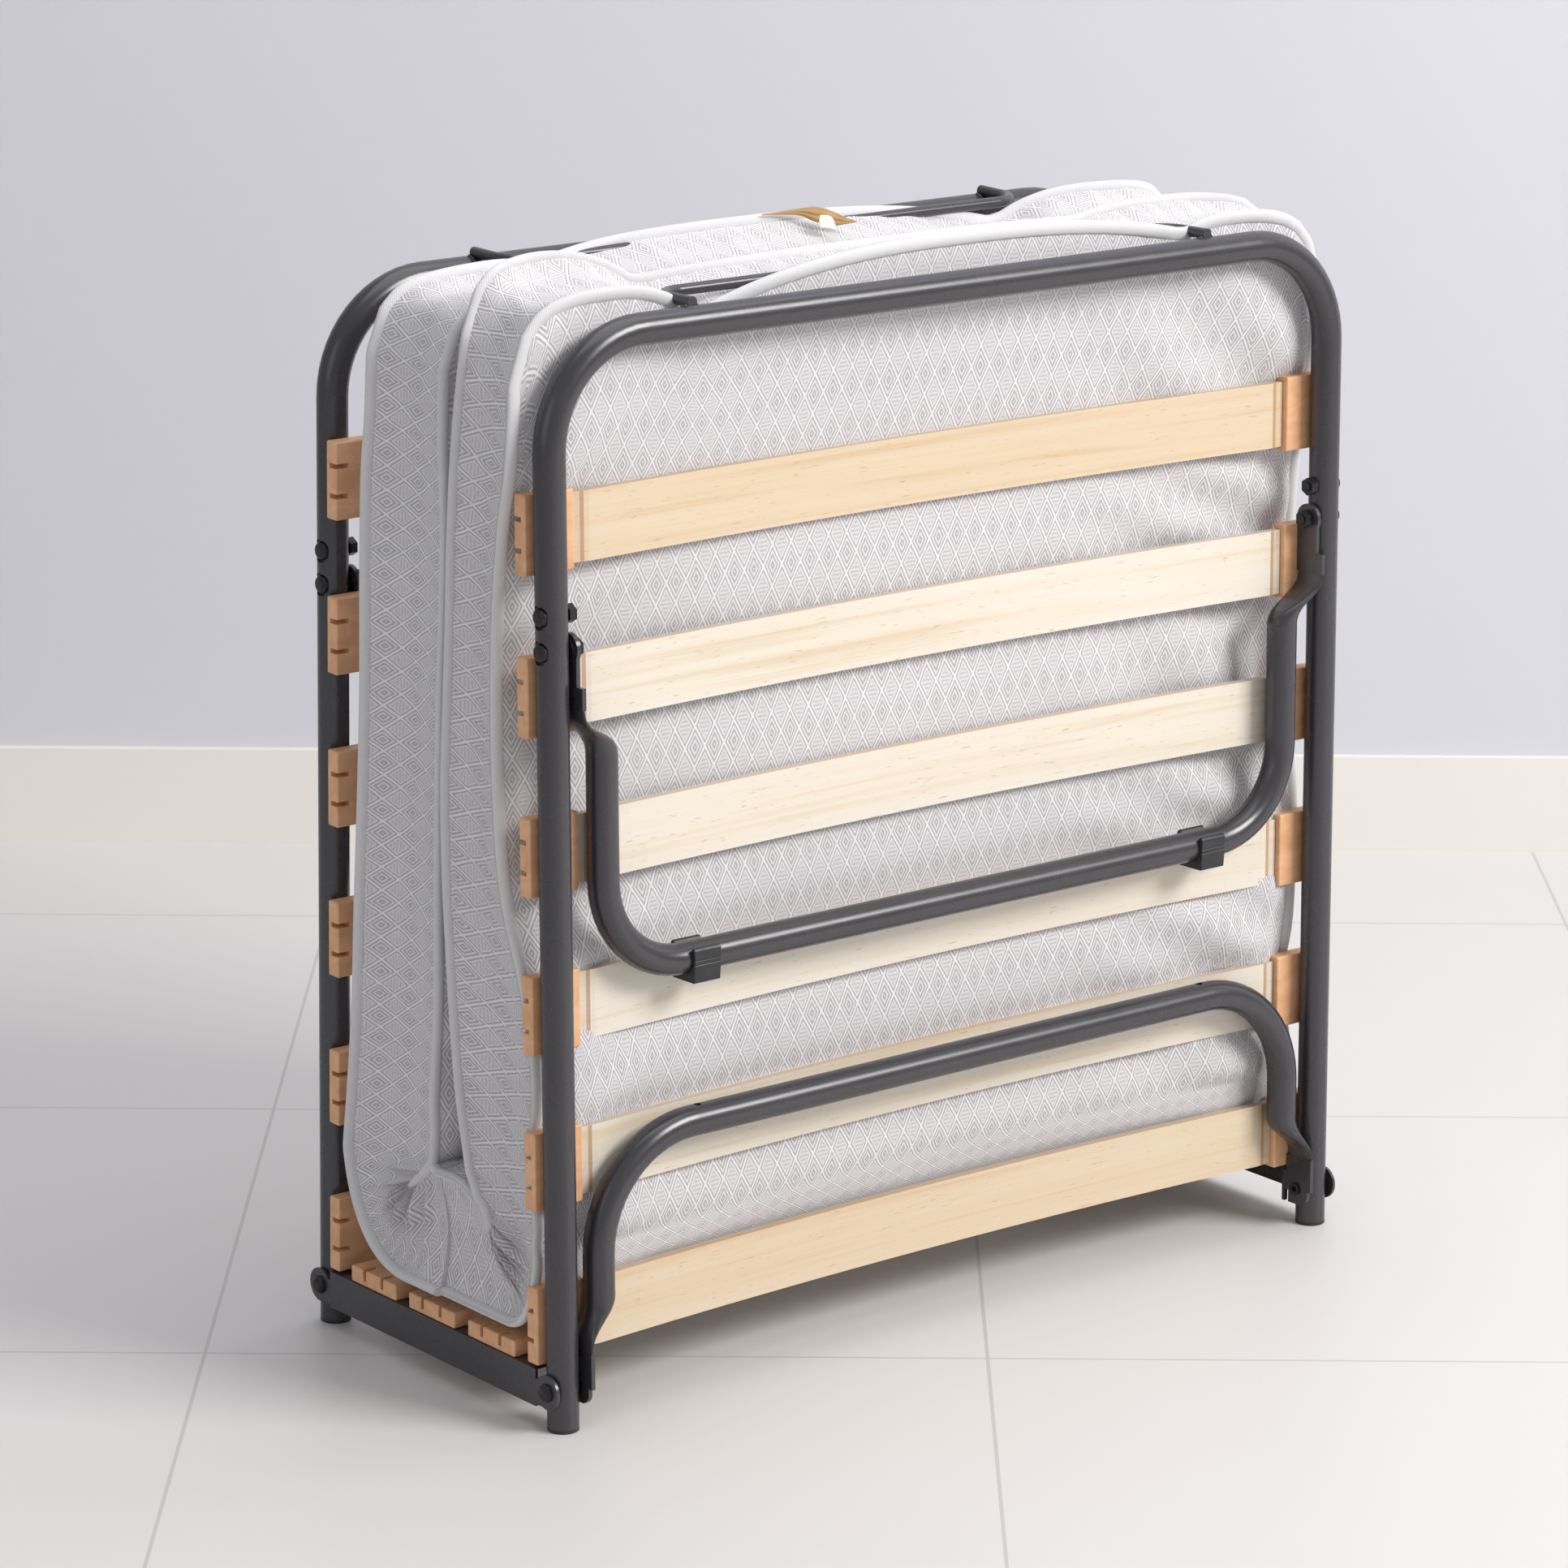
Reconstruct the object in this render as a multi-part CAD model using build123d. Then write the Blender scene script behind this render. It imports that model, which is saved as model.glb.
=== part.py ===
from build123d import *
import os
from math import sqrt

# Folding guest bed, modelled folded and standing on its tube ends.
# Origin on the floor at the middle. +X runs along the bed's width, +Y from front half to rear, +Z up.
# Each half is drawn in its own frame: hinge axis along X through the origin, tubes along +Z,
# mattress side towards +Y. It is then leant inwards and set on its hinge.

# Driving dimensions in mm
TUBE_OD = 25.0
TUBE_WALL = 1.5
FRAME_WIDTH = 794.0        # between the axes of a half's two side tubes
HINGE_SPAN = 309.0         # between the two fold axes
HINGE_HEIGHT = 33.0        # fold axes above the floor
BAR_HEIGHT = 815.5         # top bar's axis above the fold axis
FRAME_BEND = 85.0          # centre line radius of the top corners
LEAN_DEG = 1.0             # each half leans towards the other when folded

BOLT_R = 4.0
RUNNING_FIT = 0.06         # radial play of a bolt in what turns on it
NUT_ACROSS_FLATS = 13.0
NUT_HEIGHT = 6.5
HEAD_R = 7.5
HEAD_HEIGHT = 4.5
HEAD_ROUND = 4.1
DIMPLE_R = 9.3             # pressed in the side tube round a bolt's head
DIMPLE = 3.0
WASHER_R = 9.0
BOLT_END = 1.5             # bolt beyond its nut
RIVET_TAIL_R = 5.5
RIVET_TAIL = 1.5
RIVET_BORE_R = 2.2
RIVET_BORE = 4.7
SNUG = 0.2                 # between a nut or rivet tail and the plate that turns beside it

PLATE = 3.5                # flattened tube end
PLATE_GAP = 1.9            # washer between a side tube and a flattened end
FLAT_WIDTH = 29.5          # flattened tube next to its round stretch
FLAT_SHIFT = -3.25         # flattened tube's middle beside the leg's plane
FLAT_ROUND = 0.3           # how far the flattened tube still bulges over the plate
SQUEEZE = ((0.0, 0.0), (0.3, 0.13), (0.7, 0.84), (1.0, 1.0))  # share of the way, share pressed flat

END_LEG_PIVOT = 582.0      # above the fold axis
END_LEG_LENGTH = 259.0     # pivot to crossbar axis
END_LEG_ARM_X = 352.0
END_LEG_BEND = 74.0
END_LEG_ROUND = 88.0       # pivot to the start of the round tube
END_LEG_FLAT = 44.0        # pivot to the end of the plain plate
NECK_WIDTH = 22.3
NECK_SHIFT = 0.35
NECK_DROP = 28.0           # pivot to the shoulder that meets the stop
STOP_RISE = 27.0           # stop bolt above the end leg's pivot

MID_LEG_LENGTH = 190.5
MID_LEG_ARM_X = 361.0
MID_LEG_BEND = 90.0
MID_LEG_ROUND = 72.0
MID_LEG_FLAT = 28.0
HEEL_WIDTH = 30.5
HEEL_SHIFT = 1.25
HEEL_HEIGHT = 27.0
HEEL_ROUND = 9.0
SLOT_WIDTH = 4.5
SLOT_DEPTH = 10.5
SLOT_SHIFT = 11.0

FOOT_X = 264.0             # glides and glide holes on the crossbars
GLIDE_HOLE_R = 3.0
GLIDE_LENGTH = 26.0
GLIDE_WIDTH = 31.0
GLIDE_TOP = 8.0            # above the crossbar's axis
GLIDE_BASE = 18.0          # below the crossbar's axis
GLIDE_MOUTH = 19.0
GLIDE_PLAY = 0.05

PLUG_LIP = 3.0             # between the tube's end and the floor
PLUG_SLICE = 1.0           # of the leaning lip, cut off level with the floor
PLUG_CHAMFER = 1.4
PLUG_STEM = 11.0
PLUG_PLAY = 0.1

SLAT_COUNT = 6
SLAT_FIRST = 49.0          # lowest slat's middle above the fold axis
SLAT_PITCH = 124.0
SLAT_WIDTH = 54.0
SLAT_THICK = 8.0
SLAT_TIP = 5.0             # thickness after the end bevel
SLAT_BOW = 15.0
SLAT_HALF = 394.0
BEVEL_IN = 349.0
BEVEL_OUT = 367.0
CENTRE_SLAT_PITCH = 80.0

HOLDER_LENGTH = 46.0
HOLDER_THICK = 13.5
HOLDER_HEIGHT = 62.0
HOLDER_OUTSIDE = 14.5      # holder's outer end beyond the tube axis
HOLDER_EDGE = 1.6
HOLDER_PLAY = 0.25
SLIT_WIDTH = 4.0
SLIT_LENGTH = 12.0
SLIT_DEPTH = 9.0
SLIT_OFFSET = 12.0
PEG_R = 4.0
PEG_LENGTH = 7.5
PEG_PLAY = 0.1
POCKET_REACH = 15.0        # holder's inner end to the middle of the slat's seat

LINK_TOP = 48.5            # above the floor
LINK_BOTTOM = 18.0
LINK_SHEET = 2.5
LINK_FLANGE = 28.0
LINK_EAR_R = 14.0
LINK_NECK = 21.0           # web's height beside its ears
LINK_NECK_TOP = 8.0        # above the fold axis
LINK_CORNER = 4.0          # end of the web that the flange leaves free
LINK_HALF = 140.0          # web's half length without its ears
LINK_GAP = 0.5             # between a side tube and the link's web

HOOP_ROD = 9.0
HOOP_HALF = 262.0
HOOP_REACH = 52.0
HOOP_RISE = 15.0           # rod's axis above the top bar's axis
HOOP_BEND = 26.0

PAD_HALF = 408.0           # mattress half width
PAD_BOTTOM = 122.0         # above the fold axis
PAD_TOP = 806.0
PAD_CORNER = 24.0
PAD_EDGE = 14.0
PAD_CROWN = 6.0
PAD_DRAW_IN = 5.0
PAD_SKIN = 6.0
FRONT_PAD_IN = 27.0        # front mattress: slat side and slit side, from the tubes' plane
FRONT_PAD_OUT = 119.0
REAR_PAD_IN = 46.0
REAR_PAD_OUT = 146.0
LEAVE_SLATS = 700.0        # front mattress turns behind the hoop above this height
SLACK_FROM = 440.0         # front mattress leans back to its slats above this height
SLACK_TOP = 88.0
LOBE_X = 250.0             # valleys between the top's three lobes, beside the hoop's legs
LOBE_EDGE = 12.0           # lobes' outer ends below the valleys
LOBE_MID = 330.0           # middle of an outer lobe
FRONT_VALLEY = 834.0       # above the fold axis
FRONT_CRESTS = (862.0, 858.0, 851.0)
REAR_VALLEY = 822.0
REAR_CRESTS = (836.0, 844.0, 838.0)
FOLD_HALF = 118.0          # mattress fold's half depth
FOLD_BOTTOM = 76.0         # above the floor
FOLD_TOP = 151.0
FOLD_CORNER = 58.0
FOLD_RIM = 16.0
CLEAR = 1.0                # mattress to slats and holders

TIE_X = -30.0
TIE_WIDTH = 22.0
TIE_THICK = 1.2
TIE_REACH = 50.0
TIE_PLAY = 0.4
TAB_WIDTH = 19.0
TAB_HEIGHT = 16.0
TAB_THICK = 1.5
TAB_X = -12.5              # from the ribbon's middle
CUT = 1.0                  # how far a cutting solid runs past what it cuts

# Derived places
R = TUBE_OD / 2
SIDE_X = FRAME_WIDTH / 2
PLATE_OUT = SIDE_X - R - PLATE_GAP
PLATE_IN = PLATE_OUT - PLATE
PLATE_MID = (PLATE_OUT + PLATE_IN) / 2
WEB_IN = SIDE_X + R + LINK_GAP
WEB_OUT = WEB_IN + LINK_SHEET
SEAT = R                   # holders sit on the tube's mattress side
HOLDER_OUT = SIDE_X + HOLDER_OUTSIDE
HOLDER_IN = HOLDER_OUT - HOLDER_LENGTH
POCKET_MID = HOLDER_IN + POCKET_REACH
BOW_RADIUS = (POCKET_MID**2 + SLAT_BOW**2) / (2 * SLAT_BOW)
SLAT_FACE = SEAT + (HOLDER_THICK + SLAT_TIP) / 2
STOP_HEIGHT = END_LEG_PIVOT + STOP_RISE
TUBE_END = PLUG_LIP - HINGE_HEIGHT
HOLE_R = BOLT_R + RUNNING_FIT
HOOP_HEIGHT = BAR_HEIGHT + HOOP_RISE
SIDES = (-1, 1)


def save(shape, node):
    """Write one node's solids."""
    export_step(shape, f"parts/{node}.step")


def rod_x(x0, x1, y, z, radius):
    """Round bar along X."""
    return Pos((x0 + x1) / 2, y, z) * Rot(0, 90, 0) * Cylinder(radius, abs(x1 - x0))


def block(x, y, z):
    """Box between the given (low, high) pairs."""
    size = [high - low for low, high in (x, y, z)]
    middle = [(high + low) / 2 for low, high in (x, y, z)]
    return Pos(*middle) * Box(*size)


def plate_yz(sketch, x0, x1):
    """Sheet cut to a sketch whose X and Y lie along Y and Z, between two X places."""
    low = min(x0, x1)
    plane = Plane(origin=(low, 0, 0), x_dir=(0, 1, 0), z_dir=(1, 0, 0))
    return extrude(plane * sketch, abs(x1 - x0))


def u_tube(half_width, ends, bar, bend, radius):
    """Solid U of round bar with its open ends at one height and its crossbar at another."""
    corners = [(-half_width, 0, ends), (-half_width, 0, bar), (half_width, 0, bar), (half_width, 0, ends)]
    path = FilletPolyline(*corners, radius=bend)
    way = 1 if bar > ends else -1
    start = Plane(origin=corners[0], x_dir=(1, 0, 0), z_dir=(0, 0, way))
    return sweep(start * Circle(radius), path)


def bent_tube(half_width, ends, bar, bend):
    """Hollow U tube."""
    outer = u_tube(half_width, ends, bar, bend, R)
    return outer - u_tube(half_width, ends, bar, bend, R - TUBE_WALL)


def bow(x):
    """Height of the slat's arch at x over its height at the middle of the holder's pocket."""
    centre = SLAT_BOW - BOW_RADIUS
    return centre + sqrt(BOW_RADIUS**2 - x**2)


def slat_profile(play=0.0):
    """Slat's outline in plan, arched towards +Y, thinned by a bevel on its outer face near each end."""
    def inner(x):
        return SLAT_FACE + bow(x) + play

    def outer(x, thick):
        return SLAT_FACE + bow(x) - thick - play

    face_ends = [(side * BEVEL_IN, outer(BEVEL_IN, SLAT_THICK)) for side in SIDES]
    tip_ins = [(side * BEVEL_OUT, outer(BEVEL_OUT, SLAT_TIP)) for side in SIDES]
    tip_outs = [(side * SLAT_HALF, outer(SLAT_HALF, SLAT_TIP)) for side in SIDES]
    backs = [(side * SLAT_HALF, inner(SLAT_HALF)) for side in SIDES]
    edges = [
        ThreePointArc(backs[0], (0, inner(0)), backs[1]),
        Line(backs[1], tip_outs[1]),
        Line(tip_outs[1], tip_ins[1]),
        Line(tip_ins[1], face_ends[1]),
        ThreePointArc(face_ends[1], (0, outer(0, SLAT_THICK)), face_ends[0]),
        Line(face_ends[0], tip_ins[0]),
        Line(tip_ins[0], tip_outs[0]),
        Line(tip_outs[0], backs[0]),
    ]
    return make_face(edges)


def slat(height):
    """Bowed slat across a half, its middle at the given height."""
    return Pos(0, 0, height - SLAT_WIDTH / 2) * extrude(slat_profile(), SLAT_WIDTH)


def holder(side, height):
    """Plastic slat holder with a pocket for the slat, two slits and a peg for the tube."""
    body = Box(HOLDER_LENGTH, HOLDER_THICK, HOLDER_HEIGHT)
    body = fillet(body.edges(), HOLDER_EDGE)
    middle = (HOLDER_OUT + HOLDER_IN) / 2
    body = Pos(side * middle, SEAT + HOLDER_THICK / 2, height) * body
    pocket_height = SLAT_WIDTH + 2 * HOLDER_PLAY
    pocket = Pos(0, 0, height - pocket_height / 2) * extrude(slat_profile(HOLDER_PLAY), pocket_height)
    body = body - pocket
    slit_x = sorted((side * (HOLDER_OUT + CUT), side * (HOLDER_OUT - SLIT_LENGTH)))
    slit_y = (SEAT + HOLDER_THICK - SLIT_DEPTH, SEAT + HOLDER_THICK + CUT)
    for offset in (-SLIT_OFFSET, SLIT_OFFSET):
        slit_z = (height + offset - SLIT_WIDTH / 2, height + offset + SLIT_WIDTH / 2)
        body = body - block(slit_x, slit_y, slit_z)
    peg = Rot(90, 0, 0) * Cylinder(PEG_R, 2 * PEG_LENGTH)
    peg = split(peg, bisect_by=Plane.XZ, keep=Keep.TOP)
    return body + Pos(side * SIDE_X, SEAT, height) * peg


def slat_heights():
    """Middle height of each slat of a half."""
    return [SLAT_FIRST + SLAT_PITCH * i for i in range(SLAT_COUNT)]


def frame_tube():
    """One half's U frame, drilled for holders, rivets and bolts, and dimpled for the bolts' heads."""
    tube = bent_tube(SIDE_X, TUBE_END, BAR_HEIGHT, FRAME_BEND)
    bar = u_tube(SIDE_X, TUBE_END, BAR_HEIGHT, FRAME_BEND, R)
    crest = SIDE_X + R
    floor = crest - DIMPLE
    for side in SIDES:
        for height in (END_LEG_PIVOT, STOP_HEIGHT):
            cup = rod_x(side * (floor - TUBE_WALL), side * crest, 0, height, DIMPLE_R + TUBE_WALL)
            tube = tube + (cup & bar)
            tube = tube - rod_x(side * floor, side * (crest + CUT), 0, height, DIMPLE_R)
        for height in (0, END_LEG_PIVOT, STOP_HEIGHT):
            tube = tube - rod_x(side * (SIDE_X - R - CUT), side * (SIDE_X + R + CUT), 0, height, HOLE_R)
        for height in slat_heights():
            tube = tube - Pos(side * SIDE_X, R, height) * Rot(90, 0, 0) * Cylinder(PEG_R + PEG_PLAY, R)
    return tube


def foot_plug(side):
    """Plastic plug with a chamfered lip that closes a tube's lower end."""
    lip_height = PLUG_LIP + PLUG_SLICE
    lip = Pos(side * SIDE_X, 0, TUBE_END - lip_height / 2) * Cylinder(R, lip_height)
    lip = chamfer(lip.edges().sort_by(Axis.Z)[0], PLUG_CHAMFER)
    stem_r = R - TUBE_WALL - PLUG_PLAY
    return lip + Pos(side * SIDE_X, 0, TUBE_END + PLUG_STEM / 2) * Cylinder(stem_r, PLUG_STEM)


def hex_nut(side, x_outer, height):
    """Nut on the inner side of a side tube, bored for its bolt."""
    x_inner = x_outer - NUT_HEIGHT
    hexagon = RegularPolygon(NUT_ACROSS_FLATS / 2, 6, major_radius=False, rotation=30)
    nut = plate_yz(Pos(0, height) * hexagon, side * x_inner, side * x_outer)
    return nut - rod_x(side * (x_inner - CUT), side * (x_outer + CUT), 0, height, BOLT_R)


def domed_bolt(side, x_head, x_tip, height):
    """Bolt along X with a shallow domed head outside."""
    shank = rod_x(side * x_tip, side * x_head, 0, height, BOLT_R)
    head = rod_x(side * x_head, side * (x_head + HEAD_HEIGHT), 0, height, HEAD_R)
    rim = head.edges().sort_by(Axis.X)[0 if side < 0 else -1]
    return shank + fillet(rim, HEAD_ROUND)


def washer(side, x0, x1, height):
    """Ring between a side tube and a flattened leg end."""
    ring = rod_x(side * x0, side * x1, 0, height, WASHER_R)
    return ring - rod_x(side * (x0 - CUT), side * (x1 + CUT), 0, height, HOLE_R)


def fold_rivet(side):
    """Fold axis through link, side tube and middle leg, domed outside and set over inside."""
    tail_out = PLATE_IN - SNUG
    tail_in = tail_out - RIVET_TAIL
    rivet = domed_bolt(side, WEB_OUT, tail_out, 0)
    rivet = rivet + rod_x(side * tail_in, side * tail_out, 0, 0, RIVET_TAIL_R)
    return rivet - rod_x(side * (tail_in - CUT), side * (tail_in + RIVET_BORE), 0, 0, RIVET_BORE_R)


def squeezed_end(side, arm_x, round_at, flat_at):
    """Stretch where a leg's round tube is pressed flat and cranked out to the side tube."""
    def part_way(start, end, share):
        return start + (end - start) * share

    sections = []
    for along, pressed in SQUEEZE:
        x = part_way(arm_x, PLATE_MID, pressed)
        y = part_way(0, FLAT_SHIFT, pressed)
        z = part_way(round_at, flat_at, along)
        thick = part_way(R, PLATE / 2 + FLAT_ROUND, pressed)
        wide = part_way(R, FLAT_WIDTH / 2, pressed)
        place = Plane(origin=(side * x, y, z), x_dir=(1, 0, 0), z_dir=(0, 0, 1))
        sections.append(place * Ellipse(thick, wide))
    return loft(sections)


def end_leg():
    """Leg that folds down inside the half, with flattened ends that turn on the upper bolts."""
    round_at = END_LEG_PIVOT - END_LEG_ROUND
    leg = bent_tube(END_LEG_ARM_X, round_at, END_LEG_PIVOT - END_LEG_LENGTH, END_LEG_BEND)
    neck = Pos(NECK_SHIFT, -NECK_DROP / 2) * Rectangle(NECK_WIDTH, NECK_DROP)
    shoulder_low = -END_LEG_FLAT - CUT
    shoulder_height = -NECK_DROP - shoulder_low
    shoulder = Pos(FLAT_SHIFT, shoulder_low + shoulder_height / 2) * Rectangle(FLAT_WIDTH, shoulder_height)
    outline = Pos(0, END_LEG_PIVOT) * (Circle(R) + neck + shoulder - Circle(HOLE_R))
    for side in SIDES:
        leg = leg + squeezed_end(side, END_LEG_ARM_X, round_at, END_LEG_PIVOT - END_LEG_FLAT)
        leg = leg + plate_yz(outline, side * PLATE_IN, side * PLATE_OUT)
    return leg


def mid_leg():
    """Leg that folds up inside the half, with flattened ends that turn on the fold rivets."""
    leg = bent_tube(MID_LEG_ARM_X, MID_LEG_ROUND, MID_LEG_LENGTH, MID_LEG_BEND)
    heel = Pos(HEEL_SHIFT, 0) * Rectangle(HEEL_WIDTH, HEEL_HEIGHT)
    heel = fillet(heel.vertices().sort_by(lambda v: v.X + v.Y)[0], HEEL_ROUND)
    strip_height = MID_LEG_FLAT + CUT
    strip = Pos(FLAT_SHIFT, strip_height / 2) * Rectangle(FLAT_WIDTH, strip_height)
    slot_low = -HEEL_HEIGHT / 2
    slot = Pos(SLOT_SHIFT, slot_low) * Rectangle(SLOT_WIDTH, 2 * SLOT_DEPTH)
    outline = heel + strip - slot - Circle(HOLE_R)
    for side in SIDES:
        leg = leg + squeezed_end(side, MID_LEG_ARM_X, MID_LEG_ROUND, MID_LEG_FLAT)
        leg = leg + plate_yz(outline, side * PLATE_IN, side * PLATE_OUT)
        leg = leg - Pos(side * FOOT_X, 0, MID_LEG_LENGTH + R) * Cylinder(GLIDE_HOLE_R, R)
    return leg


def leg_glide(side):
    """Snap-on saddle with a flat base under the end leg's crossbar."""
    outline = Pos(0, (GLIDE_TOP - GLIDE_BASE) / 2) * Rectangle(GLIDE_WIDTH, GLIDE_TOP + GLIDE_BASE)
    outline = outline - Circle(R + GLIDE_PLAY)
    outline = outline - Pos(0, GLIDE_TOP) * Rectangle(GLIDE_MOUTH, 2 * GLIDE_TOP)
    outline = Pos(0, END_LEG_PIVOT - END_LEG_LENGTH) * outline
    return plate_yz(outline, side * FOOT_X - GLIDE_LENGTH / 2, side * FOOT_X + GLIDE_LENGTH / 2)


def mattress_hoop():
    """Bent rod welded on the top bar that keeps the mattress from sliding."""
    corners = [(-HOOP_HALF, 0, HOOP_HEIGHT), (-HOOP_HALF, HOOP_REACH, HOOP_HEIGHT)]
    corners += [(HOOP_HALF, HOOP_REACH, HOOP_HEIGHT), (HOOP_HALF, 0, HOOP_HEIGHT)]
    path = FilletPolyline(*corners, radius=HOOP_BEND)
    start = Plane(origin=corners[0], x_dir=(1, 0, 0), z_dir=(0, 1, 0))
    rod = sweep(start * Circle(HOOP_ROD / 2), path)
    return rod - rod_x(-SIDE_X, SIDE_X, 0, BAR_HEIGHT, R)


def pad_profile(near, far, inset):
    """Half mattress in plan: hollowed over the bowed slats, crowned inside, sides drawn in."""
    low = near + inset
    high = far - inset
    half = PAD_HALF - inset
    sagged = max(SLAT_FACE + SLAT_BOW + CLEAR, near) + inset
    if sagged > low:
        slat_side = ThreePointArc((-half, low), (0, sagged), (half, low))
    else:
        slat_side = Line((-half, low), (half, low))
    outline = make_face(
        [
            slat_side,
            ThreePointArc((half, low), (half - PAD_DRAW_IN, (low + high) / 2), (half, high)),
            ThreePointArc((half, high), (0, high + PAD_CROWN), (-half, high)),
            ThreePointArc((-half, high), (PAD_DRAW_IN - half, (low + high) / 2), (-half, low)),
        ]
    )
    return fillet(outline.vertices(), PAD_CORNER - inset)


def top_lobes(far, valley, crests):
    """Three lobes of mattress that rise past the hoop, on its slit side."""
    near = HOOP_REACH + HOOP_ROD / 2 + 2 * CLEAR
    edge = PAD_HALF - PAD_EDGE
    foot = PAD_TOP - PAD_EDGE - CUT
    edges = [
        Line((-edge, foot), (-edge, valley - LOBE_EDGE)),
        ThreePointArc((-edge, valley - LOBE_EDGE), (-LOBE_MID, crests[0]), (-LOBE_X, valley)),
        ThreePointArc((-LOBE_X, valley), (0, crests[1]), (LOBE_X, valley)),
        ThreePointArc((LOBE_X, valley), (LOBE_MID, crests[2]), (edge, valley - LOBE_EDGE)),
        Line((edge, valley - LOBE_EDGE), (edge, foot)),
        Line((edge, foot), (-edge, foot)),
    ]
    outline = Plane(origin=(0, near, 0), x_dir=(1, 0, 0), z_dir=(0, -1, 0)) * make_face(edges)
    return extrude(outline, near - far)


def slack_side(inset):
    """What the front mattress leaves free where it leans back to its slats."""
    top = PAD_TOP + FRAME_BEND
    far = FRONT_PAD_OUT + PAD_CROWN
    corners = [(far - inset, SLACK_FROM), (SLACK_TOP - inset, top), (far + R, top), (far + R, SLACK_FROM)]
    return plate_yz(make_face(Polyline(*corners, close=True)), -PAD_HALF - CUT, PAD_HALF + CUT)


def hoop_side(inset):
    """What the front mattress leaves free above its top slat, on its way behind the hoop."""
    top = max(FRONT_CRESTS)
    lobe = HOOP_REACH + HOOP_ROD / 2 + CLEAR
    corners = [(FRONT_PAD_IN + inset, LEAVE_SLATS), (lobe + inset, top), (-R, top), (-R, LEAVE_SLATS)]
    return plate_yz(make_face(Polyline(*corners, close=True)), -PAD_HALF - CUT, PAD_HALF + CUT)


def mattress_half(near, far):
    """Upright mattress half: a closed skin with rounded edges."""
    body = Pos(0, 0, PAD_BOTTOM) * extrude(pad_profile(near, far, 0), PAD_TOP - PAD_BOTTOM)
    ends = body.faces().sort_by(Axis.Z)
    body = fillet(ends[0].edges() + ends[-1].edges(), PAD_EDGE)
    hollow_height = PAD_TOP - PAD_BOTTOM - 2 * PAD_SKIN
    hollow = Pos(0, 0, PAD_BOTTOM + PAD_SKIN) * extrude(pad_profile(near, far, PAD_SKIN), hollow_height)
    return body, hollow


def front_mattress():
    """Front half of the mattress, slack at its top, lobed past the hoop."""
    body, hollow = mattress_half(FRONT_PAD_IN, FRONT_PAD_OUT)
    body = body + top_lobes(FRONT_PAD_OUT, FRONT_VALLEY, FRONT_CRESTS)
    hollow = hollow - slack_side(PAD_SKIN) - hoop_side(PAD_SKIN)
    return body - slack_side(0) - hoop_side(0) - hollow


def rear_mattress():
    """Rear half of the mattress, lobed past the hoop, with room for the ribbon."""
    body, hollow = mattress_half(REAR_PAD_IN, REAR_PAD_OUT)
    body = body + top_lobes(REAR_PAD_OUT, REAR_VALLEY, REAR_CRESTS)
    tie_x = (TIE_X - TIE_REACH - CLEAR, TIE_X + TIE_REACH + CLEAR)
    tie_y = (HOOP_REACH, HOOP_REACH + TIE_WIDTH / 2 + CLEAR)
    tie_z = (HOOP_HEIGHT - TAB_HEIGHT, HOOP_HEIGHT + FRAME_BEND)
    return body - hollow - block(tie_x, tie_y, tie_z)


def fold_profile(inset):
    """Mattress fold's outline across the bed: flat top, rounded lower corners."""
    low = FOLD_BOTTOM + inset
    high = FOLD_TOP - inset
    half = FOLD_HALF - inset
    outline = Pos(0, (low + high) / 2) * Rectangle(2 * half, high - low)
    lower = outline.vertices().sort_by(Axis.Y)[:2]
    outline = fillet(lower, FOLD_CORNER - inset)
    upper = outline.vertices().sort_by(Axis.Y)[-2:]
    return fillet(upper, FOLD_RIM - inset)


def mattress_fold():
    """Lower turn of the mattress on the centre slats: a closed skin."""
    body = plate_yz(fold_profile(0), -PAD_HALF, PAD_HALF)
    ends = body.faces().sort_by(Axis.X)
    body = fillet(ends[0].edges() + ends[-1].edges(), PAD_EDGE)
    return body - plate_yz(fold_profile(PAD_SKIN), PAD_SKIN - PAD_HALF, PAD_HALF - PAD_SKIN)


def centre_places():
    """Y of each centre slat."""
    return [CENTRE_SLAT_PITCH * i for i in (-1, 0, 1)]


def side_link(side):
    """Angle section that joins the halves: upright web with an ear at each fold axis, and a top flange."""
    axis_y = HINGE_SPAN / 2
    middle = (LINK_TOP + LINK_BOTTOM) / 2
    outline = Pos(0, middle) * Rectangle(2 * LINK_HALF, LINK_TOP - LINK_BOTTOM)
    neck_start = LINK_HALF - LINK_CORNER
    neck = Rectangle(axis_y - neck_start, LINK_NECK)
    neck_height = HINGE_HEIGHT + LINK_NECK_TOP - LINK_NECK / 2
    for end in SIDES:
        outline = outline + Pos(end * (axis_y + neck_start) / 2, neck_height) * neck
        outline = outline + Pos(end * axis_y, HINGE_HEIGHT) * Circle(LINK_EAR_R)
    for end in SIDES:
        outline = outline - Pos(end * axis_y, HINGE_HEIGHT) * Circle(HOLE_R)
    web = plate_yz(outline, side * WEB_IN, side * WEB_OUT)
    flange_x = sorted((side * (WEB_OUT - LINK_FLANGE), side * WEB_OUT))
    flange = block(flange_x, (-neck_start, neck_start), (LINK_TOP - LINK_SHEET, LINK_TOP))
    for y in centre_places():
        flange = flange - Pos(side * SIDE_X, y, LINK_TOP) * Cylinder(PEG_R + PEG_PLAY, 2 * LINK_SHEET + CUT)
    return web + flange


def on_link(shape, y):
    """Lay a slat or holder, drawn for a half at height 0, flat on the links at the given Y."""
    return Pos(0, y, LINK_TOP - SEAT) * Rot(90, 0, 0) * shape


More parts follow.
